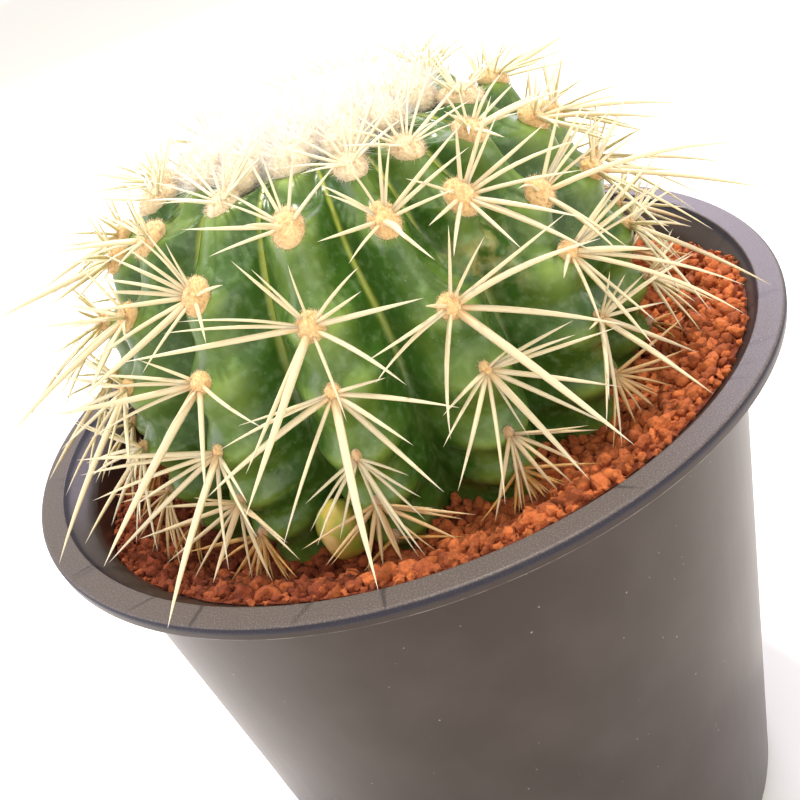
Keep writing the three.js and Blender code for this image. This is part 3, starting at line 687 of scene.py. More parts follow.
def rib_section(azimuth, latitude):
    """Height across the ribs: 1 on a crest, falling in a rounded hump to 0 in a sharp valley."""

    def hump(crests, half):
        off = np.clip(np.min(off_crests(azimuth, crests), axis=0) / half, 0, 1)
        off = np.sqrt(off**2 + CREST_ROUNDING**2) - CREST_ROUNDING
        return 1 - (off / (math.sqrt(1 + CREST_ROUNDING**2) - CREST_ROUNDING)) ** 1.5

    plain = hump(MATURE_RIBS, RIB_PITCH / 2)
    crowded = hump(MATURE_RIBS + YOUNG_RIBS, RIB_PITCH / 4)
    crowded = np.where(np.min(off_crests(azimuth, YOUNG_RIBS), axis=0) < RIB_PITCH / 2, crowded, plain)
    return plain + (crowded - plain) * smoothstep(*INSERTED_RISE, latitude)


def rib_phase(azimuth, latitude):
    """How far a point is above the last areole of its nearest rib, in steps from 0 to 1."""
    crests = MATURE_RIBS + YOUNG_RIBS
    offs = off_crests(azimuth, crests)
    offs[RIB_COUNT:] += np.where(smoothstep(*INSERTED_RISE, latitude) > 0.2, 0, 90)
    phases = []
    for index in range(len(crests)):
        rows = rib_rows(index)
        # The steps go on past both ends of the rib.
        rows = [rows[0] - 22, rows[0] - 11, *rows, rows[-1] + 17, rows[-1] + 36]
        phases.append(np.interp(latitude, rows, range(len(rows))) % 1)
    return np.take_along_axis(np.array(phases), np.argmin(offs, axis=0)[None], axis=0)[0]


def stem_frame(azimuth, latitude):
    """A point on a crest, with the directions up the rib, across it and out of it."""
    turned = float(pushed(azimuth, latitude))
    at = around(turned, *envelope(latitude))
    above = around(float(pushed(azimuth, latitude + 0.5)), *envelope(latitude + 0.5))
    up = (above - at).normalized()
    across = around(turned + 90, 1, 0)
    return at, up, across, across.cross(up).normalized()


def soil_level(x):
    """Height of the soil's surface, without its granules or the bank at the wall."""
    return RIM_HEIGHT - SOIL_DEPTH + SOIL_SLOPE * x


def bank_depth(azimuth):
    """How far below the rim the soil meets the wall."""
    return np.interp(azimuth, *zip(*SOIL_BANK), period=360) * MM


def bank_height(x, y):
    """How far the soil is banked up over its level: nothing at mid-way, and most at the wall."""
    edge = RIM_HEIGHT - bank_depth(math.degrees(math.atan2(x, -y)))
    return (edge - soil_level(x)) * float(smoothstep(40 * MM, 54 * MM, math.hypot(x, y)))


def wall_radius(height):
    """Radius of the pot's inside at a height."""
    return WALL_TOP_RADIUS - (NECK - height) * math.tan(WALL_TAPER) - WALL_THICKNESS


def areoles():
    """Every areole as rib index, row from the soil up, azimuth and latitude."""
    found = []
    for index, crest in enumerate(MATURE_RIBS + YOUNG_RIBS):
        for row, latitude in enumerate(rib_rows(index)):
            at = around(crest, *envelope(latitude))
            if at.z > soil_level(at.x) + 2.2 * MM:
                found.append((index, row, crest, latitude))
    return found


def crown_areoles():
    """The youngest areoles, in rings in the wool: azimuth, radius and lean of their needles."""
    # How many there are in each ring, its radius in mm, and their lean in degrees.
    rings = ((14, 16.8, 46), (11, 13, 34), (9, 9, 24), (5, 4.8, 12), (1, 0.6, 0))
    return [
        (FIRST_RIB + (index + 0.5 * (ring % 2)) * 360 / count, radius * MM, lean)
        for ring, (count, radius, lean) in enumerate(rings)
        for index in range(count)
    ]


# ---------------------------------------------------------------- operators


class CACTUS_OT_pot(Operator):
    """Turns the moulded pot: rim ring, tapered wall, foot ring, floor and drain holes"""

    bl_idname = "cactus.pot"
    bl_label = "Pot"

    def execute(self, context):
        settings = context.scene.cactus_pot
        sides = settings.sides
        profile = pot_profile(settings.edge)
        points = [(0, 0, profile[0][1])]
        for radius, height in profile[1:-1]:
            points += [around(360 * side / sides, radius, height) for side in range(sides)]
        points.append((0, 0, profile[-1][1]))
        faces = closed_grid_faces(len(profile) - 2, sides)
        pot = new_piece("pot_body", points, faces, pot_plastic(settings))
        cut_drains(pot, settings.drain_radius)
        shade_by_angle(pot, angle=24)
        dress(pot, "pot")
        return {"FINISHED"}


def arc(centre_radius, centre_height, radius, start, end, count=5):
    """Points of a profile on an arc, by angles in degrees from the outward direction."""
    turns = np.radians(np.linspace(start, end, count + 1))
    return [(centre_radius + radius * math.cos(t), centre_height + radius * math.sin(t)) for t in turns]


def pot_profile(edge):
    """The pot's section as (radius, height), from the inside of the floor round to the foot."""
    inner_foot = FOOT_RADIUS - WALL_THICKNESS
    shares = (0.25, 0.5, 0.75, 0.98)  # of the way up the wall
    inside = [(0, FLOOR_TOP), (inner_foot * 0.5, FLOOR_TOP)]
    inside += arc(inner_foot - 1.5 * MM, FLOOR_TOP + 1.5 * MM, 1.5 * MM, -90, 0)
    inside += [(wall_radius(NECK * share), NECK * share) for share in shares]
    inside += [(RIM_INNER_RADIUS - inward * MM, RIM_HEIGHT - down * MM) for inward, down in reversed(THROAT)]
    rim = arc(RIM_INNER_RADIUS + 0.3 * MM, RIM_HEIGHT - 0.3 * MM, 0.3 * MM, 150, 90, 3)
    rim += [(RIM_INNER_RADIUS + 0.5 * MM, RIM_HEIGHT), (RIM_RADIUS - edge - 0.15 * MM, RIM_HEIGHT)]
    rim += arc(RIM_RADIUS - edge, RIM_HEIGHT - edge, edge, 90, 0)
    rim += [(RIM_RADIUS, RIM_HEIGHT - edge - 0.1 * MM), (RIM_RADIUS - 0.06 * MM, LIP + 0.35 * MM)]
    rim += arc(RIM_RADIUS - 0.3 * MM, LIP + 0.2 * MM, 0.24 * MM, 0, -90, 3)
    # Under the rim the wall flares out: how far, and how far below the lip, in mm.
    flare = ((2.4, 0), (1.2, 0.25), (0.45, 0.8))
    outside = [(RIM_RADIUS - 0.6 * MM, LIP)]
    outside += [(WALL_TOP_RADIUS + out * MM, LIP - down * MM) for out, down in flare]
    outside.append((WALL_TOP_RADIUS, NECK))
    outside += [(wall_radius(NECK * share) + WALL_THICKNESS, NECK * share) for share in (*shares[::-1], 0.02)]
    outside += arc(FOOT_RADIUS - 0.8 * MM, 0.8 * MM, 0.8 * MM, 0, -90, 3)
    # The foot ring and a low boss in the middle stand on the ground.
    outside += [(FOOT_RADIUS - 8 * MM, 0), (FOOT_RADIUS - 9.4 * MM, FLOOR_LIFT)]
    outside += [(12.4 * MM, FLOOR_LIFT), (11 * MM, 0), (0, 0)]
    return inside + rim + outside


def cut_drains(pot, radius):
    """Cuts a ring of round drain holes through the pot's floor."""
    rod = {"cap_ends": True, "segments": 40, "radius1": radius, "radius2": radius, "depth": 12 * MM}

    def fill(shape):
        for index in range(DRAINS):
            place = around((index + 0.5) * 360 / DRAINS, DRAIN_CIRCLE, FLOOR_LIFT)
            bmesh.ops.create_cone(shape, matrix=Matrix.Translation(place), **rod)

    cutter = new_piece("drains", [])
    reshape(cutter, fill)
    outward(pot)
    modifier = pot.modifiers.new("Drains", "BOOLEAN")
    modifier.object = cutter
    modifier.operation = "DIFFERENCE"
    modifier.solver = "EXACT"
    keep_result(pot)
    bpy.data.objects.remove(cutter)
    outward(pot)


def outward(piece):
    """Merges doubled points and turns every face outwards."""

    def mend(shape):
        bmesh.ops.remove_doubles(shape, verts=shape.verts, dist=MM / 1000)
        bmesh.ops.recalc_face_normals(shape, faces=shape.faces)

    reshape(piece, mend)


def shade_by_angle(piece, angle):
    """Smooth shading, but for edges that turn by more than this angle in degrees."""

    def mark(shape):
        for edge in shape.edges:
            edge.smooth = len(edge.link_faces) == 2 and edge.calc_face_angle(0) < math.radians(angle)

    piece.data.shade_smooth()
    reshape(piece, mark)


class CACTUS_OT_soil(Operator):
    """Fills the pot with its bed of soil, and strews granules and grit on it"""

    bl_idname = "cactus.soil"
    bl_label = "Soil"

    def execute(self, context):
        settings = context.scene.cactus_soil
        finish = clay_granules(settings)
        bed, top, wide_top = soil_bed(finish)
        # The bed between the granules takes the dark colour all over, which stands as painted shade in the
        # gaps.
        damp_and_shade = 1.4
        store(bed, "tone", [damp_and_shade] * len(bed.data.vertices))
        strew("soil_granules", top, settings.granule, finish, spacing=0.52, seed=21)
        strew("soil_grit", wide_top, settings.grit, finish, spacing=0.7, seed=34)
        bpy.data.objects.remove(top)
        bpy.data.objects.remove(wide_top)
        dress(bed, "soil")
        return {"FINISHED"}


def soil_bed(finish):
    """The closed bed of soil, and two sheets of its top: short of the wall, and right up to it."""
    columns = 252
    azimuths = [360 * column / columns for column in range(columns)]
    foot_radius, foot_height = envelope(STEM_FOOT_LATITUDE)
    foot_height -= 1 * MM
    bottom = FLOOR_TOP + 0.35 * MM

    def level_ring(radius, height):
        return [around(azimuth, radius, height) for azimuth in azimuths]

    hole = [level_ring(ROOT_HOLE_RADIUS, ROOT_HOLE_FLOOR), level_ring(ROOT_HOLE_RADIUS, foot_height - 6 * MM)]
    hole.append(level_ring(foot_radius * 0.9, foot_height))
    top = [[soil_point(azimuth, share) for azimuth in azimuths] for share in np.linspace(0, 1, 22)]
    edge, neck = ([soil_edge(azimuth, under) for azimuth in azimuths] for under in (False, True))
    base = [level_ring(wall_radius(bottom + 2 * MM) - 0.5 * MM, bottom + 2 * MM)]
    base.append(level_ring(wall_radius(bottom) - 2 * MM, bottom))
    rings = [*hole, *top, edge, neck, *base]
    points = [(0, 0, ROOT_HOLE_FLOOR), *(point for ring in rings for point in ring), (0, 0, bottom)]
    bed = new_piece("soil_bed", points, closed_grid_faces(len(rings), columns), finish)
    return bed, soil_sheet(top), soil_sheet([*top, edge])


def soil_point(azimuth, share):
    """A point of the soil's rough top, at a share of the way from the stem to the wall."""
    inner = stem_edge(azimuth)
    outer = math.hypot(*soil_edge(azimuth, False)[:2]) - 1.3 * MM
    x, y, _ = around(azimuth, inner + (outer - inner) * share, 0)
    rough = 0.5 * MM * math.sin(1.9 * x / MM + 2 * math.sin(0.9 * y / MM)) * math.sin(2.1 * y / MM)
    return Vector((x, y, soil_level(x) + bank_height(x, y) - 0.5 * MM + rough))


def soil_edge(azimuth, under):
    """Where the soil meets the wall or its flared throat, or a point of the neck just under that."""
    down = bank_depth(azimuth)
    if under:
        down = max(down, NECK_DEPTH) + 0.8 * MM
    inward = np.interp(down / MM, *reversed(list(zip(*THROAT)))) * MM
    radius = RIM_INNER_RADIUS - inward if down < NECK_DEPTH else wall_radius(RIM_HEIGHT - down)
    return around(azimuth, radius - 0.3 * MM, RIM_HEIGHT - down)


def soil_sheet(rings):
    """A loose sheet of the soil's top for the granules to lie on."""
    columns = len(rings[0])
    faces = []
    for top in range(0, (len(rings) - 1) * columns, columns):
        for column in range(columns):
            beside = (column + 1) % columns
            faces.append((top + column, top + columns + column, top + columns + beside, top + beside))
    return new_piece("soil_top", [point for ring in rings for point in ring], faces)


def stem_edge(azimuth):
    """Radius at which the soil meets the ribbed stem."""
    level = soil_level(around(azimuth, STEM_RADIUS, 0).x)
    latitude = math.degrees(math.asin((level - STEM_CENTRE) / STEM_HALF_HEIGHT))
    depth = envelope(latitude)[0] * RIB_DEPTH * (0.3 + 0.7 * float(smoothstep(*FOOT_FADE, latitude)))
    section = float(rib_section(np.array([azimuth]), np.array([latitude]))[0])
    return envelope(latitude)[0] - depth * (1 - section) - 0.3 * MM


def strew(name, top, width, finish, spacing, seed):
    """Strews lumpy granules of about this width over the soil's top, spaced by a share of it."""
    piece = copied(top, name)
    sizes = {"Width": width, "Spacing": width * spacing, "Lump Height": 0.3 * width, "Lift": 0.2 * width}
    grow(piece, granule_tree(sizes, finish, seed), sizes)
    dress(piece, "soil")


def granule_tree(sizes, finish, seed):
    """Node tree that strews lumpy granules of mixed size and tone, none nearer than the spacing."""
    tree, add, given = geometry_tree("Granules", sizes)
    spread = {"Mesh": given["Geometry"], "Distance Min": given["Spacing"], "Density Max": 1.0e6, "Seed": seed}
    points = add("DistributePointsOnFaces", spread, distribute_method="POISSON")
    turn, stretch = (
        add("RandomValue", {0: low, 1: high, "Seed": seed + offset}, data_type="FLOAT_VECTOR")
        for low, high, offset in (((0, 0, 0), (6.28, 6.28, 6.28), 1), ((0.5, 0.5, 0.42), (1.2, 1, 0.85), 2))
    )
    tone, rise = (
        add("RandomValue", {2: low, 3: high, "Seed": seed + offset}, data_type="FLOAT")
        for low, high, offset in ((-0.1, 0.75, 3), (-0.3, 1, 4))
    )
    # Painted shade: granules towards the -X side get a darker tone.
    side = add("SeparateXYZ", [add("InputPosition")]).outputs["X"]
    painted_left_shade = add("MapRange", [side, 0, -32 * MM, 0, 0.7])
    tone = add("Math", [tone, painted_left_shade], operation="ADD")
    kept = {"Geometry": points, "Name": "tone", "Value": tone}
    toned = add("StoreNamedAttribute", kept, domain="POINT")
    rise = add("Math", [rise, given["Lift"]], operation="MULTIPLY")
    rise = add("CombineXYZ", {"Z": rise})
    raised = add("SetPosition", {"Geometry": toned, "Offset": rise})
    lump = add("MeshIcoSphere", {"Radius": 0.5, "Subdivisions": 2})
    scale = add("VectorMath", {0: stretch, "Scale": given["Width"]}, operation="SCALE")
    wave = add("Math", [2.7, given["Width"]], operation="DIVIDE")
    lumps = add("TexNoise", {"Scale": wave, "Detail": 5, "Roughness": 0.68})
    pattern = add("MapRange", [lumps, 0.3, 0.7, -1, 1])
    granules = strewn(add, raised, lump, turn, scale)
    return finished(tree, embossed(add, granules, pattern, given["Lump Height"]), finish)


class CACTUS_OT_stem(Operator):
    """Grows the ribbed stem from its rule, with a swelling under each areole"""

    bl_idname = "cactus.stem"
    bl_label = "Stem"

    def execute(self, context):
        settings = context.scene.cactus_stem
        azimuths = stem_columns()
        # Under the last grown ring the foot rounds in to the root neck, and down to its end.
        grown_rings = 190
        foot_reach, foot_drop = (0.6, 0.26, 0.24, 0.1), (3, 5, 20, 28)
        latitudes = np.linspace(88, STEM_FOOT_LATITUDE, grown_rings)
        latitudes = np.concatenate([latitudes, [STEM_FOOT_LATITUDE] * len(foot_reach)])
        reach = np.concatenate([np.ones(grown_rings), foot_reach])
        drop = np.concatenate([np.zeros(grown_rings), foot_drop]) * MM
        latitude, azimuth = (grid.ravel() for grid in np.meshgrid(latitudes, azimuths, indexing="ij"))
        faces = closed_grid_faces(len(latitudes), len(azimuths))
        stem = new_piece("cactus_stem", np.zeros((len(azimuth) + 2, 3)), faces)
        # Each value in rows from the top down, and then at the top and bottom poles.
        marks = {
            "azimuth": (np.radians(pushed(azimuth, latitude)), 0, 0),
            "latitude": (np.radians(latitude), math.pi / 2, math.radians(STEM_FOOT_LATITUDE)),
            "section": (rib_section(azimuth, latitude), 0, 0),
            "dip": (tubercle_dip(azimuth, latitude), 0, 0),
            "swelling": (swelling(azimuth, latitude), 0, 0),
            "fresh": (smoothstep(2, 30, latitude), 0, 0),
            "cork": (cork(azimuth, latitude), 0, 0),
            "reach": (np.repeat(reach, len(azimuths)), 1, 0),
            "drop": (np.repeat(drop, len(azimuths)), 0, 29 * MM),
        }
        for name, (values, top, bottom) in marks.items():
            store(stem, name, [top, *values, bottom])
        sizes = {
            "Stem Radius": STEM_RADIUS,
            "Half Height": STEM_HALF_HEIGHT,
            "Centre Height": STEM_CENTRE,
            "Crown Flattening": CROWN_FLATTENING,
            "Rib Depth": settings.rib_depth,
            "Tubercle Dip": settings.tubercle,
        }
        grow(stem, stem_tree(sizes, cactus_skin(settings)), sizes)
        dress(stem, "cactus")
        return {"FINISHED"}


def stem_columns():
    """Azimuths of the stem's columns: more between two old ribs than beside a younger one."""
    crests = sorted(MATURE_RIBS + YOUNG_RIBS)
    azimuths = []
    for crest, following in zip(crests, [*crests[1:], crests[0] + 360]):
        count = 22 if following - crest > 0.6 * RIB_PITCH else 14
        azimuths += list(np.linspace(crest, following, count, endpoint=False))
    return np.array(azimuths)


def tubercle_dip(azimuth, latitude):
    """How far the skin sinks, from 0 just under an areole to 1 between two of them."""
    phase = (rib_phase(azimuth, latitude) + 0.12) % 1
    wave = 0.5 - 0.5 * np.cos(2 * np.pi * phase**0.85)
    fade = smoothstep(0, 0.55, rib_section(azimuth, latitude)) * (1 - 0.6 * smoothstep(55, 75, latitude))
    return wave * fade * smoothstep(-32, -14, latitude)


def swelling(azimuth, latitude):
    """Where the painted highlight lies: on the crests, and most under each areole, from 0 to 1."""
    phase = rib_phase(azimuth, latitude)
    under = np.exp(-(((phase - 0.86) / 0.13) ** 2)) + np.exp(-(((phase + 0.14) / 0.13) ** 2))
    ridge = smoothstep(0.4, 1.0, rib_section(azimuth, latitude))
    return np.clip(under, 0, 1) * ridge * 0.65 + 0.3 * ridge


def cork(azimuth, latitude):
    """Corky scars where the front younger rib comes up between its neighbours, in degrees from there."""
    off = wrapped(azimuth - YOUNG_RIBS[0]) / CORK_WIDTH
    rise = (latitude - CORK_LATITUDE) / CORK_HEIGHT
    return np.exp(-(off**2) - rise**2)


def stem_tree(sizes, finish):
    """Node tree that puts each point of the stem at its latitude, pressed in by rib and tubercle."""
    tree, add, given = geometry_tree("Ribbed stem", sizes)
    azimuth, latitude, section, dip, reach, drop = (
        add("InputNamedAttribute", {"Name": name})
        for name in ("azimuth", "latitude", "section", "dip", "reach", "drop")
    )
    sine, turn_sine = (add("Math", [angle], operation="SINE") for angle in (latitude, azimuth))
    cosine, turn_cosine = (add("Math", [angle], operation="COSINE") for angle in (latitude, azimuth))
    crest = add("Math", [given["Stem Radius"], cosine], operation="MULTIPLY")
    flat = add("MapRange", [sine, CROWN_SINE, 1, 0, 1])
    flat = add("Math", [flat, 1.5], operation="POWER")
    flat = add("Math", [flat, given["Crown Flattening"]], operation="MULTIPLY")
    height = add("Math", [given["Half Height"], sine, given["Centre Height"]], operation="MULTIPLY_ADD")
    height = add("Math", [height, flat], operation="SUBTRACT")
    foot, crown = (
        add("MapRange", [latitude, *np.radians(span), low, high], interpolation_type="SMOOTHSTEP")
        for span, low, high in ((FOOT_FADE, 0.3, 1), ((60, 85), 1, 0.5))
    )
    hollow = add("Math", [1, section], operation="SUBTRACT")
    for factor in (foot, crown, given["Rib Depth"], crest):
        hollow = add("Math", [hollow, factor], operation="MULTIPLY")
    sunk = add("Math", [dip, given["Tubercle Dip"]], operation="MULTIPLY")
    inward = add("Math", [sunk, cosine, hollow], operation="MULTIPLY_ADD")
    radius = add("Math", [crest, inward], operation="SUBTRACT")
    radius = add("Math", [radius, reach], operation="MULTIPLY")
    lower = add("Math", [sunk, sine, drop], operation="MULTIPLY_ADD")
    height = add("Math", [height, lower], operation="SUBTRACT")
    x = add("Math", [radius, turn_sine], operation="MULTIPLY")
    back = add("Math", [radius, turn_cosine], operation="MULTIPLY")
    y = add("Math", [back, -1], operation="MULTIPLY")
    place = add("CombineXYZ", [x, y, height])
    shaped = add("SetPosition", {"Geometry": given["Geometry"], "Position": place})
    return finished(tree, shaped, finish)


class CACTUS_OT_offset(Operator):
    """Makes the small swelling at the foot of the front ribs"""

    bl_idname = "cactus.offset_bud"
    bl_label = "Offset bud"

    def execute(self, context):
        radius, height = envelope(-15)
        centre = around(-22, radius - 2.3 * MM, height)

        def swell(shape):
            bmesh.ops.create_uvsphere(shape, u_segments=40, v_segments=28, radius=1)
            for vert in shape.verts:
                x, y, z = vert.co
                waist = 1 + 0.06 * math.sin(5 * math.atan2(y, x))
                vert.co = centre + Vector((x * 3.4 * waist, y * 3.8 * waist, z * 4.3)) * MM

        bud = new_piece("offset_bud", [], finish=bud_skin(centre + Vector((-2.2, -2.8, 0.6)) * MM))
        reshape(bud, swell)
        bud.data.shade_smooth()
        dress(bud, "cactus")
        return {"FINISHED"}


class CACTUS_OT_felt(Operator):
    """Puts a felt pad on each areole, and short hairs on each pad"""

    bl_idname = "cactus.felt"
    bl_label = "Areole felt"

    def execute(self, context):
        settings = context.scene.cactus_felt
        finish = areole_felt(settings)
        dice = random.Random(FELT_SEED)
        rows = [stem_pad(latitude, stem_frame(crest, latitude), dice) for _, _, crest, latitude in areoles()]
        rows += [crown_pad(*areole, dice) for areole in crown_areoles()]
        pads = marked_points("areole_pads", ("up", "out", "size", "age"), rows)
        sizes = {"Width": settings.width, "Height": settings.height, "Thickness": settings.thickness}
        sizes["Tuft Height"] = 0.14 * MM
        grow(pads, pad_tree(sizes, finish), sizes)
        fuzz = copied(pads, "areole_fuzz")
        hairs = {"Density": 1.5e7, "Hair Length": 0.55 * MM, "Hair Width": 0.065 * MM, "Spread": 1}
        grow(fuzz, hair_tree("Felt hairs", hairs, finish, seed=3), hairs)
        dress(pads, "cactus")
        dress(fuzz, "cactus")
        return {"FINISHED"}


def stem_pad(latitude, frame, dice):
    """A pad on a rib as place, up, out, size and age. It is larger near the crown, and age ends at 1."""
    at, up, _, out = frame
    young = float(smoothstep(42, 66, latitude))
    wide = 0.35 + 0.67 * float(smoothstep(8, 29, latitude)) + 0.14 * young
    high = 0.38 + 0.6 * float(smoothstep(6, 46, latitude)) + 0.14 * young
    thick = 0.45 + 0.55 * float(smoothstep(0, 30, latitude))
    age = 0.45 * (1 - young) + 0.55 * (1 - float(smoothstep(-8, 20, latitude)))
    return at - out * 0.35 * MM, up, out, Vector((wide, high, thick)) * dice.uniform(0.92, 1.08), age


def crown_pad(azimuth, radius, lean, dice):
    """A pad in the crown as place, up, out, size and age. The outermost pads are the widest."""
    outermost = radius > 0.75 * CAP_RADIUS
    size = Vector((1.5, 1.05, 1.3)) if outermost else Vector((1.3, 1.0, 1.0))
    tilt = math.radians(lean * 0.75)
    out = around(azimuth, math.sin(tilt), math.cos(tilt))
    up = -around(azimuth, math.cos(tilt), -math.sin(tilt))
    at = around(azimuth, radius, crest_height(radius) + (0.5 if outermost else 0.9) * MM)
    return at, up, out, size * dice.uniform(0.85, 1.1), 0


def pad_tree(sizes, finish):
    """Node tree that puts a flattened, tufted pad on each point, turned by its up and out."""
    tree, add, given = geometry_tree("Felt pads", sizes)
    pad = add("MeshIcoSphere", {"Radius": 0.5, "Subdivisions": 4})
    for name, axis in (("upper", "Y"), ("ahead", "Z")):
        part = add("SeparateXYZ", [add("InputPosition")]).outputs[axis]
        pad = add("StoreNamedAttribute", {"Geometry": pad, "Name": name, "Value": part}, domain="POINT")
    out, up, size = (
        add("InputNamedAttribute", {"Name": name}, data_type="FLOAT_VECTOR")
        for name in ("out", "up", "size")
    )
    turn = add("AxesToRotation", [out, up], primary_axis="Z", secondary_axis="Y")
    thick = add("Math", [given["Thickness"], 2], operation="MULTIPLY")
    shape = add("CombineXYZ", [given["Width"], given["Height"], thick])
    scale = add("VectorMath", [shape, size], operation="MULTIPLY")
    tufts = add("TexVoronoi", {"Scale": 1 / (0.55 * MM)}, feature="SMOOTH_F1")
    pattern = add("MapRange", [tufts, 0, 0.8, 1, -0.6])
    pads = strewn(add, given["Geometry"], pad, turn, scale)
    return finished(tree, embossed(add, pads, pattern, given["Tuft Height"]), finish)


def hair_tree(name, sizes, finish, seed):
    """Node tree that covers a surface with hairs, thin cones that lean by chance, longer where young."""
    tree, add, given = geometry_tree(name, sizes)
    ahead, age = (add("InputNamedAttribute", {"Name": label}) for label in ("ahead", "age"))
    seen = add("Compare", [ahead, -0.08], operation="GREATER_THAN")
    spread = {"Mesh": given["Geometry"], "Selection": seen, "Density": given["Density"], "Seed": seed}
    points = add("DistributePointsOnFaces", spread)
    cone = {"Vertices": 3, "Side Segments": 1, "Radius Top": 0, "Radius Bottom": 0.5, "Depth": 1}
    hair = add("MeshCone", cone)
    chance = {0: (-1, -1, -1), 1: (1, 1, 1), "Seed": seed + 1}
    lean = add("RandomValue", chance, data_type="FLOAT_VECTOR")
    lean = add("VectorMath", {0: lean, "Scale": given["Spread"]}, operation="SCALE")
    way = add("VectorMath", [points.outputs["Normal"], lean], operation="ADD")
    turn = add("AlignRotationToVector", {"Vector": way}, axis="Z")
    share = add("RandomValue", {2: 0.5, 3: 1.2, "Seed": seed + 2}, data_type="FLOAT")
    youth = add("MapRange", [age, 0, 0.45, 2, 1])
    long = add("Math", [given["Hair Length"], share], operation="MULTIPLY")
    long = add("Math", [long, youth], operation="MULTIPLY")
    scale = add("CombineXYZ", [given["Hair Width"], given["Hair Width"], long])
    return finished(tree, strewn(add, points, hair, turn, scale), finish)


# A full-grown areole's needles: clock angle from straight up the rib (clockwise positive), lift
# from the skin in degrees, then length and width at the foot in millimetres.
GROWN_NEEDLES = (
    (-25, 36, 9, 0.55), (12, 38, 7.5, 0.5), (60, 32, 9, 0.6), (86, 28, 14, 0.75), (106, 24, 12, 0.6),
    (133, 22, 16, 0.8), (157, 26, 12, 0.55), (181, 36, 22.5, 1.05), (-153, 24, 17, 0.75),
    (-128, 22, 15.5, 0.7), (-104, 24, 15, 0.75), (-80, 28, 13, 0.65),
)
# The oldest areoles, near the soil, have more and thinner needles that hang down.
OLD_NEEDLES = (
    (78, 30, 12, 0.6), (98, 26, 14, 0.65), (116, 24, 13, 0.6), (132, 30, 15, 0.75), (148, 22, 14, 0.6),
    (163, 34, 15, 0.8), (178, 26, 15, 0.7), (-167, 36, 14, 0.8), (-152, 22, 15, 0.65), (-137, 30, 14, 0.75),
    (-120, 24, 13, 0.6), (-101, 28, 13, 0.65), (-82, 30, 11, 0.6),
)
# Those next to the crown have short needles that leave the pad's sides.
TOP_NEEDLES = (
    (-18, 56, 7, 0.45), (24, 52, 7.5, 0.45), (46, 38, 9, 0.5), (64, 32, 10, 0.55), (85, 28, 9.5, 0.55),
    (110, 28, 8, 0.5), (138, 32, 7, 0.45), (178, 42, 8.5, 0.6), (-136, 32, 7, 0.45), (-112, 28, 8, 0.5),
    (-92, 28, 9, 0.5), (-72, 32, 8.5, 0.5), (-50, 42, 7, 0.45),
)
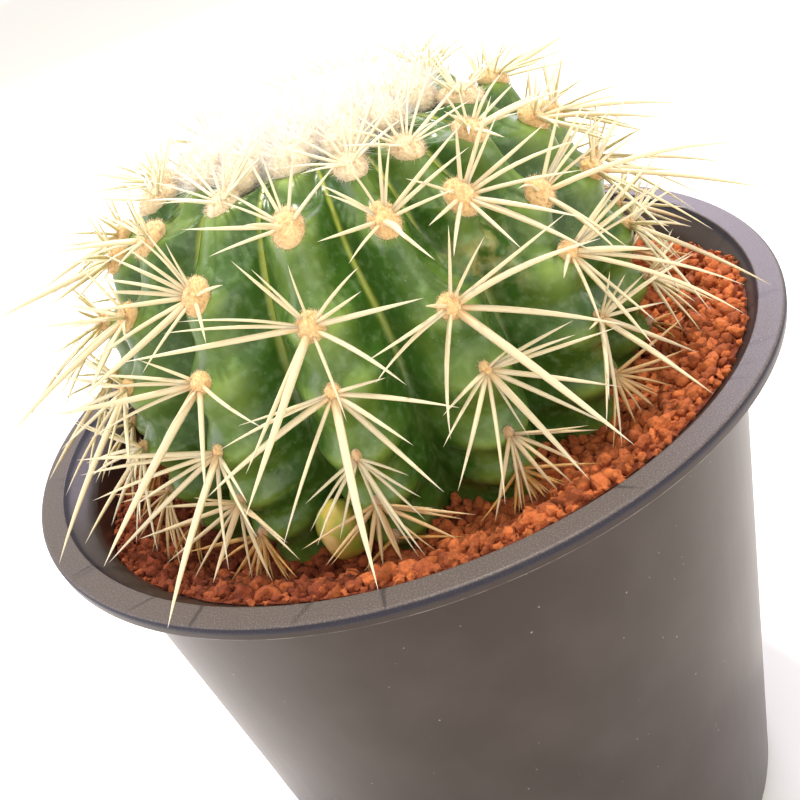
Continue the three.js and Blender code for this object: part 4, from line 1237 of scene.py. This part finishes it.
# Areoles in full view of the camera, each with its own needles, by rib and row from the soil up.
FRONT_NEEDLES = {
    (13, 5): (
        (-17, 30, 9.5, 0.55), (-4, 36, 8.5, 0.5), (28, 32, 8.5, 0.55), (72, 28, 9, 0.6), (88, 40, 7.5, 0.6),
        (-56, 36, 7, 0.5), (-65, 34, 7.5, 0.55), (-91, 26, 11, 0.65), (-120, 26, 9.5, 0.65),
        (-148, 60, 8, 0.8),
    ),
    (13, 4): (
        (-28, 28, 11, 0.65), (-21, 36, 9, 0.5), (12, 42, 8, 0.5), (63, 30, 10, 0.65), (79, 36, 9.5, 0.7),
        (95, 24, 15.5, 0.8), (134, 22, 14, 0.75), (172, 20, 12, 0.5), (-152, 26, 22.5, 1.15),
        (-143, 20, 18, 0.75), (-88, 22, 21, 0.85), (-78, 24, 16, 0.7), (-73, 28, 14.5, 0.55),
    ),
    (13, 3): (
        (83, 30, 8, 0.55), (106, 24, 16.5, 0.75), (130, 26, 11.5, 0.7), (142, 22, 17.5, 0.85),
        (175, 37, 23.4, 1.15), (180, 24, 20, 0.75), (-146, 22, 18, 0.7), (-113, 22, 18, 0.95),
        (-98, 24, 14, 0.65), (-88, 28, 11, 0.6),
    ),
    (13, 2): (
        (108, 30, 7, 0.5), (127, 28, 9, 0.5), (141, 24, 11, 0.55), (155, 30, 14, 0.65), (162, 22, 14, 0.5),
        (175, 20, 10, 0.5), (-150, 26, 10, 0.5), (-136, 24, 11.5, 0.6), (-126, 30, 10, 0.5),
        (-105, 30, 8, 0.5),
    ),
    (0, 4): (
        (23, 32, 9, 0.6), (31, 38, 8, 0.55), (71, 26, 13, 0.65), (84, 30, 12, 0.6), (108, 34, 9, 0.6),
        (-17, 38, 7, 0.5), (-50, 32, 8, 0.55), (-58, 36, 7.5, 0.5), (-97, 28, 9, 0.6), (-125, 28, 8.5, 0.6),
        (169, 30, 9.5, 0.6), (190, 56, 13, 1.2),
    ),
    (0, 3): (
        (27, 32, 9.5, 0.65), (50, 36, 9, 0.5), (77, 26, 16, 0.6), (92, 28, 18, 1.05), (131, 20, 19, 0.9),
        (174, 24, 25.5, 1.2), (-138, 20, 16.5, 0.75), (-104, 24, 14.5, 0.75), (-95, 26, 13.5, 0.6),
        (-68, 58, 7, 0.6),
    ),
    (0, 2): (
        (40, 55, 6, 0.5), (77, 28, 11, 0.6), (85, 34, 11, 0.6), (92, 24, 15.5, 0.65), (120, 22, 15.5, 0.75),
        (140, 24, 15.5, 0.7), (167, 28, 21, 1.0), (177, 20, 9, 0.4), (-155, 24, 16, 0.75),
        (-129, 24, 15, 0.7), (-110, 26, 11.5, 0.6), (-93, 30, 9.5, 0.6),
    ),
    (0, 1): (
        (99, 28, 9.5, 0.5), (106, 24, 10.5, 0.55), (136, 26, 10.5, 0.65), (152, 34, 12, 0.6),
        (167, 24, 14, 0.7), (-168, 24, 11, 0.55), (-155, 32, 9, 0.5), (-134, 26, 10.5, 0.6),
    ),
    (14, 0): (
        (22, 36, 8, 0.6), (50, 32, 11, 0.65), (57, 38, 9.5, 0.5), (87, 28, 12, 0.65), (106, 26, 14.5, 0.7),
        (121, 24, 13.5, 0.65), (160, 34, 15, 0.7), (168, 26, 16.5, 1.15), (190, 28, 11, 0.6),
        (-128, 24, 11.5, 0.65), (-105, 28, 9.5, 0.6), (-62, 30, 8.5, 0.6),
    ),
    (12, 4): (
        (-34, 36, 9, 0.5), (-27, 32, 9, 0.5), (0, 46, 7, 0.5), (-50, 34, 9.5, 0.55), (-64, 30, 11.5, 0.6),
        (-80, 30, 12, 0.65), (-89, 26, 12.5, 0.7), (-100, 28, 12.5, 0.7), (-128, 24, 15.5, 0.8),
        (-144, 28, 18, 1.0), (-166, 28, 10.5, 0.6), (137, 26, 9, 0.6), (92, 30, 10, 0.65),
    ),
    (12, 3): (
        (-52, 38, 7, 0.5), (-76, 30, 13, 0.6), (-87, 26, 13, 0.6), (-97, 28, 20, 0.9),
        (-155, 26, 24.7, 1.2), (-168, 50, 8, 0.55), (162, 26, 13.5, 0.8), (105, 22, 14.5, 0.7),
        (-112, 22, 15, 0.7),
    ),
    (12, 2): (
        (-78, 28, 18, 0.75), (-89, 24, 18, 0.7), (-99, 30, 17, 0.8), (-112, 24, 15, 0.6),
        (168, 57, 22.2, 1.1), (-127, 28, 21, 0.8), (137, 26, 12.5, 0.6), (-158, 22, 12, 0.55),
        (168, 28, 14.5, 0.7), (120, 30, 9, 0.55),
    ),
    (1, 4): (
        (39, 34, 10.5, 0.6), (62, 34, 12, 0.65), (71, 30, 12, 0.6), (84, 34, 13, 0.65), (94, 30, 12, 0.6),
        (116, 30, 15, 0.65), (124, 34, 24.5, 1.0), (176, 26, 12.5, 0.65), (188, 30, 13, 0.85),
        (-76, 28, 9, 0.6),
    ),
    (1, 3): (
        (60, 36, 10, 0.55), (68, 32, 13, 0.6), (77, 30, 16, 0.65), (86, 36, 14, 0.75), (96, 30, 13, 0.6),
        (132, 44, 9.5, 1.1), (142, 32, 21, 0.7), (152, 34, 22, 0.9), (-94, 30, 9, 0.6),
        (-147, 24, 11.5, 0.6), (186, 26, 15.5, 0.75), (170, 24, 13, 0.55),
    ),
}


class CACTUS_OT_needles(Operator):
    """Grows the needles of every areole, each tapered, a little flat and gently bent"""

    bl_idname = "cactus.needles"
    bl_label = "Needles"

    def execute(self, context):
        settings = context.scene.cactus_needles
        finish = needle_horn(settings)
        dice = random.Random(settings.seed)
        grown = [needle for areole in areoles() for needle in areole_needles(*areole, dice)]
        young = [needle for areole in crown_areoles() for needle in crown_needles(*areole, dice)]
        sizes = {"Length Share": settings.length_share, "Curl": settings.curl, "Flatness": 0.72}
        pieces = (("needles", grown, "cactus"), ("crown_needles", young, "crown_wool"))
        for name, needles, stands_for in pieces:
            piece = marked_points(name, ("way", "bend", "long", "wide", "age"), needles)
            grow(piece, needle_tree(sizes, finish), sizes)
            dress(piece, stands_for)
        return {"FINISHED"}


def areole_needles(index, row, crest, latitude, dice):
    """The needles of one areole as foot, direction, bend, length, width and age."""
    frame = stem_frame(crest, latitude)
    _, up, across, out = frame
    turn, loose, share, thin = 0, 0.15, 1, 1
    if (index, row) in FRONT_NEEDLES:
        needles = FRONT_NEEDLES[index, row]
    elif latitude > 52:
        needles = TOP_NEEDLES
        turn, loose, thin = dice.uniform(-12, 12), 0.6, 0.95
    else:
        needles = OLD_NEEDLES if latitude < -5 else GROWN_NEEDLES
        turn, loose = dice.uniform(-12, 12), 1
        grown, young = float(smoothstep(-20, 10, latitude)), float(smoothstep(24, 60, latitude))
        share = (0.8 + 0.2 * grown) * (1 - 0.56 * young)
        thin = 0.68 + 0.25 * share
    made = []
    for clock, lift, length, width in needles:
        heading = clock + turn + loose * dice.uniform(-9, 9)
        raised = lift + loose * dice.uniform(-7, 7)
        if share < 1 and latitude > 24:
            raised += (1 - share) * (18 + 30 * max(0, math.cos(math.radians(clock))))
        long = length * MM * share * (1 + loose * dice.uniform(-0.18, 0.12))
        bend = -up * dice.uniform(-0.2, 1.0) - out * dice.uniform(0.1, 1.0) + across * dice.uniform(-0.6, 0.6)
        bend *= dice.uniform(0.5, 1.3)
        made += fitted_needle(frame, heading, raised, long, width * MM * thin, bend, latitude)
    return made


def fitted_needle(frame, heading, raised, long, wide, bend, latitude):
    """One needle, lifted or shortened step by step until its tip is clear of the soil and pot."""
    at, _, _, out = frame
    pad = (0.35 + 0.65 * float(smoothstep(0, 30, latitude))) * MM
    # Near the crown the age drops below 0, which gives the needles the painted highlight.
    age = 1 - float(smoothstep(-14, 3, latitude)) - 0.6 * float(smoothstep(38, 60, latitude))
    for attempt in range(40):
        way = direction(frame, heading, raised + 0.9 * attempt)
        foot = at + out * 0.5 * pad + (way - out * way.dot(out)) * 1.2 * pad
        if is_clear(foot + way * long):
            return [(foot, way, bend, long, wide, age)]
        long *= 0.975
    return []


def direction(frame, clock, lift):
    """Unit vector at a clock angle from up the rib, lifted off the skin, both in degrees."""
    _, up, across, out = frame
    flat = up * math.cos(math.radians(clock)) + across * math.sin(math.radians(clock))
    return flat * math.cos(math.radians(lift)) + out * math.sin(math.radians(lift))


def is_clear(tip):
    """True where a tip is above the soil, inside the pot's wall and not past the model's box."""
    radius = math.hypot(tip.x, tip.y)
    if max(abs(tip.x), abs(tip.y)) > RIM_RADIUS - 0.7 * MM or radius > RIM_RADIUS + 3 * MM:
        return False
    if tip.z > CAD_BOX[1].z:
        return False
    if tip.z < soil_level(tip.x) + bank_height(tip.x, tip.y) + 1.2 * MM:
        return False
    return tip.z > RIM_HEIGHT + 0.7 * MM or radius < RIM_INNER_RADIUS - 4.4 * MM


def crown_needles(azimuth, radius, lean, dice):
    """The short young needles of one areole in the wool."""
    made = []
    foot = around(azimuth, radius, crest_height(radius) + 1.2 * MM)
    for index in range(5):
        tilt = math.radians(max(-20, lean * 0.8 + dice.uniform(-16, 34)))
        turn = azimuth + dice.uniform(-80, 80) + (180 if index % 4 == 3 else 0)
        way = around(turn, math.sin(tilt), math.cos(tilt))
        side = around(turn, math.cos(tilt), -math.sin(tilt))
        start = foot + side * dice.uniform(0.2, 1.8) * MM
        long = dice.uniform(4.5, 8.0) * MM
        if start.z + way.z * long < CAD_BOX[1].z:
            made.append((start, way, side * dice.uniform(-0.6, 1.2), long, dice.uniform(0.26, 0.4) * MM, -1))
    return made


def needle_tree(sizes, finish):
    """Node tree that grows a needle on each point, along its way and bent towards its bend."""
    tree, add, given = geometry_tree("Needles", sizes)
    way, bend = (
        add("InputNamedAttribute", {"Name": name}, data_type="FLOAT_VECTOR") for name in ("way", "bend")
    )
    length, width, along = (
        add("InputNamedAttribute", {"Name": name}) for name in ("long", "wide", "along")
    )
    line = add("CurvePrimitiveLine", {"Start": (0, 0, 0), "End": (0, 0, 1)})
    rings = add("ResampleCurve", {"Curve": line, "Count": 8})
    share = add("SplineParameter").outputs["Factor"]
    kept = {"Geometry": rings, "Name": "along", "Value": share}
    marked = add("StoreNamedAttribute", kept, domain="POINT")
    power = add("Math", [share, 2.7], operation="POWER")
    taper = add("MapRange", [power, 0, 1, 0.5, 0.015])
    bare = add("SetCurveRadius", {"Curve": marked, "Radius": taper})
    section = add("CurvePrimitiveCircle", {"Resolution": 6, "Radius": 1})
    squeeze = add("CombineXYZ", [given["Flatness"], 1, 1])
    oval = add("Transform", {"Geometry": section, "Scale": squeeze})
    skin = {"Curve": bare, "Profile Curve": oval, "Scale": taper, "Fill Caps": True}
    needle = add("CurveToMesh", skin)
    turn = add("AxesToRotation", [way, bend], primary_axis="Z", secondary_axis="X")
    long = add("Math", [length, given["Length Share"]], operation="MULTIPLY")
    scale = add("CombineXYZ", [width, width, long])
    straight = strewn(add, given["Geometry"], needle, turn, scale)
    square = add("Math", [along, 2], operation="POWER")
    sway = add("Math", [square, along], operation="SUBTRACT")
    for factor in (long, given["Curl"]):
        sway = add("Math", [sway, factor], operation="MULTIPLY")
    move = add("VectorMath", {0: bend, "Scale": sway}, operation="SCALE")
    bent = add("SetPosition", {"Geometry": straight, "Offset": move})
    return finished(tree, bent, finish)


class CACTUS_OT_crown(Operator):
    """Makes the cap of wool on the crown, with its loose hairs"""

    bl_idname = "cactus.crown"
    bl_label = "Crown wool"

    def execute(self, context):
        settings = context.scene.cactus_crown
        finish = crown_wool(settings)
        columns = 168
        shares = np.linspace(0.04, 1, 30)
        rings = [(share, 1) for share in shares] + [(share, 0) for share in shares[::-1]]
        points = [cap_point(360 * c / columns, share, top) for share, top in rings for c in range(columns)]
        points = [cap_point(0, 0, 1), *points, cap_point(0, 0, 0)]
        wool = new_piece("crown_wool_cap", points, closed_grid_faces(len(rings), columns), finish)
        hairs = {"Density": settings.density, "Hair Length": settings.hair_length}
        hairs.update({"Hair Width": 0.085 * MM, "Spread": 1.1})
        loose = copied(wool, "crown_wool_hairs")
        grow(loose, hair_tree("Wool hairs", hairs, finish, seed=7), hairs)
        dress(wool, "crown_wool")
        dress(loose, "crown_wool")
        return {"FINISHED"}


def cap_point(azimuth, share, top):
    """A point of the wool's lumpy top or of its underside. The wool reaches further down each rib."""
    turn = math.radians(azimuth)
    lobe = math.cos(RIB_COUNT * math.radians(azimuth - FIRST_RIB))
    radius = CAP_RADIUS * share * (0.9 + share * (0.08 * lobe + 0.02 * math.sin(5 * turn)))
    thick = CAP_THICKNESS * (0.75 - 0.6 * share**3)
    sag = (0.5 + (1 - lobe) * share**2) * MM
    lumps = math.sin(5 * turn + radius / MM) * math.sin(0.9 * radius / MM + 1)
    lumps += 0.6 * math.sin(14 * turn) * math.sin(0.7 * radius / MM)
    lumps *= 0.4 * MM * min(1, radius / (4 * MM)) * (1 - 0.7 * share)
    return around(azimuth, radius, crest_height(radius) - sag + (thick + 0.5 * MM + lumps if top else 0))


class CACTUS_OT_stage(Operator):
    """Sets the pale floor, the soft lights and the camera of the photograph"""

    bl_idname = "cactus.stage"
    bl_label = "Stage"

    def execute(self, context):
        settings = context.scene.cactus_stage
        side = 4.0
        corners = [(-side, -side, 0), (side, -side, 0), (side, side, 0), (-side, side, 0)]
        floor = new_piece("floor", corners, [(0, 1, 2, 3)], floor_paint(settings))
        fill = settings.fill
        soft_light("Key", (0.06, 0.2, 1.05), side=0.04, power=settings.key, tint="#fff6ea")
        soft_light("Fill", (0.35, -0.85, 0.5), side=0.8, power=fill, tint="#fff8f0")
        soft_light("Window", (-0.85, 0.1, 0.4), side=0.7, power=1.3 * fill, tint="#ebebff")
        soft_light("Back window", (0.42, 0.9, 0.62), side=0.6, power=2.3 * fill, tint="#e2dcff")
        room_light(settings.sky)
        place_camera()
        context.scene.view_settings.view_transform = "Standard"
        return {"FINISHED"}


def soft_light(name, place, side, power, tint):
    """A square soft box at a place, turned to the middle of the pot's rim."""
    lamp = bpy.data.lights.new(name, "AREA")
    lamp.size = side
    lamp.energy = power
    lamp.color = linear(tint)[:3]
    holder = bpy.data.objects.new(name, lamp)
    holder.location = place
    way = Vector((0, 0, RIM_HEIGHT)) - Vector(place)
    holder.rotation_euler = way.to_track_quat("-Z", "Y").to_euler()
    bpy.context.scene.collection.objects.link(holder)


def room_light(strength):
    """Even white light from all around."""
    world = bpy.data.worlds.new("Pale room")
    world.use_nodes = True
    background = world.node_tree.nodes["Background"]
    background.inputs["Color"].default_value = linear("#fffdf9")
    background.inputs["Strength"].default_value = strength
    bpy.context.scene.world = world


def place_camera():
    """The camera at the photograph's viewing angle, distance and tilt."""
    lens = bpy.data.cameras.new("Camera")
    lens.sensor_width = 36
    lens.lens = FOCAL_LENGTH / PICTURE_SIDE * lens.sensor_width
    lens.clip_start = 5 * MM
    camera = bpy.data.objects.new("Camera", lens)
    bpy.context.scene.collection.objects.link(camera)
    sine, cosine = math.sin(CAMERA_ELEVATION), math.cos(CAMERA_ELEVATION)
    level = Matrix(((1, 0, 0), (0, sine, cosine), (0, -cosine, sine)))
    turn = (
        Matrix.Rotation(CAMERA_TILT, 3, "X")
        @ Matrix.Rotation(CAMERA_PAN, 3, "Y")
        @ Matrix.Rotation(CAMERA_ROLL, 3, "Z")
    )
    place = Vector((0, -cosine, sine)) * CAMERA_DISTANCE + Vector((0, 0, RIM_HEIGHT))
    camera.matrix_world = Matrix.Translation(place) @ (turn @ level).transposed().to_4x4()
    bpy.context.scene.camera = camera


# ---------------------------------------------------------------- add-on

# Each step in the order in which it is built, with its settings where it has some.
STEPS = (
    (CACTUS_OT_pot, "cactus_pot", CactusPotSettings),
    (CACTUS_OT_soil, "cactus_soil", CactusSoilSettings),
    (CACTUS_OT_stem, "cactus_stem", CactusStemSettings),
    (CACTUS_OT_offset, None, None),
    (CACTUS_OT_felt, "cactus_felt", CactusFeltSettings),
    (CACTUS_OT_needles, "cactus_needles", CactusNeedleSettings),
    (CACTUS_OT_crown, "cactus_crown", CactusCrownSettings),
    (CACTUS_OT_stage, "cactus_stage", CactusStageSettings),
)


class CACTUS_PT_panel(Panel):
    """Lists the steps and their settings"""

    bl_idname = "CACTUS_PT_panel"
    bl_label = "Potted round cactus"
    bl_space_type = "VIEW_3D"
    bl_region_type = "UI"
    bl_category = "Cactus"

    def draw(self, context):
        for operator, name, group in STEPS:
            box = self.layout.box()
            box.operator(operator.bl_idname)
            for label in group.__annotations__ if group else ():
                box.prop(getattr(context.scene, name), label)


def register():
    """Adds the classes, and the settings to the scene."""
    bpy.utils.register_class(CACTUS_PT_panel)
    for operator, name, group in STEPS:
        bpy.utils.register_class(operator)
        if group:
            bpy.utils.register_class(group)
            setattr(bpy.types.Scene, name, PointerProperty(type=group))


def unregister():
    """Takes away what register adds."""
    for operator, name, group in reversed(STEPS):
        if group:
            delattr(bpy.types.Scene, name)
            bpy.utils.unregister_class(group)
        bpy.utils.unregister_class(operator)
    bpy.utils.unregister_class(CACTUS_PT_panel)


def main():
    """Builds every piece in order."""
    register()
    for operator, _, _ in STEPS:
        category, name = operator.bl_idname.split(".")
        getattr(getattr(bpy.ops, category), name)()


if __name__ == "__main__":
    main()
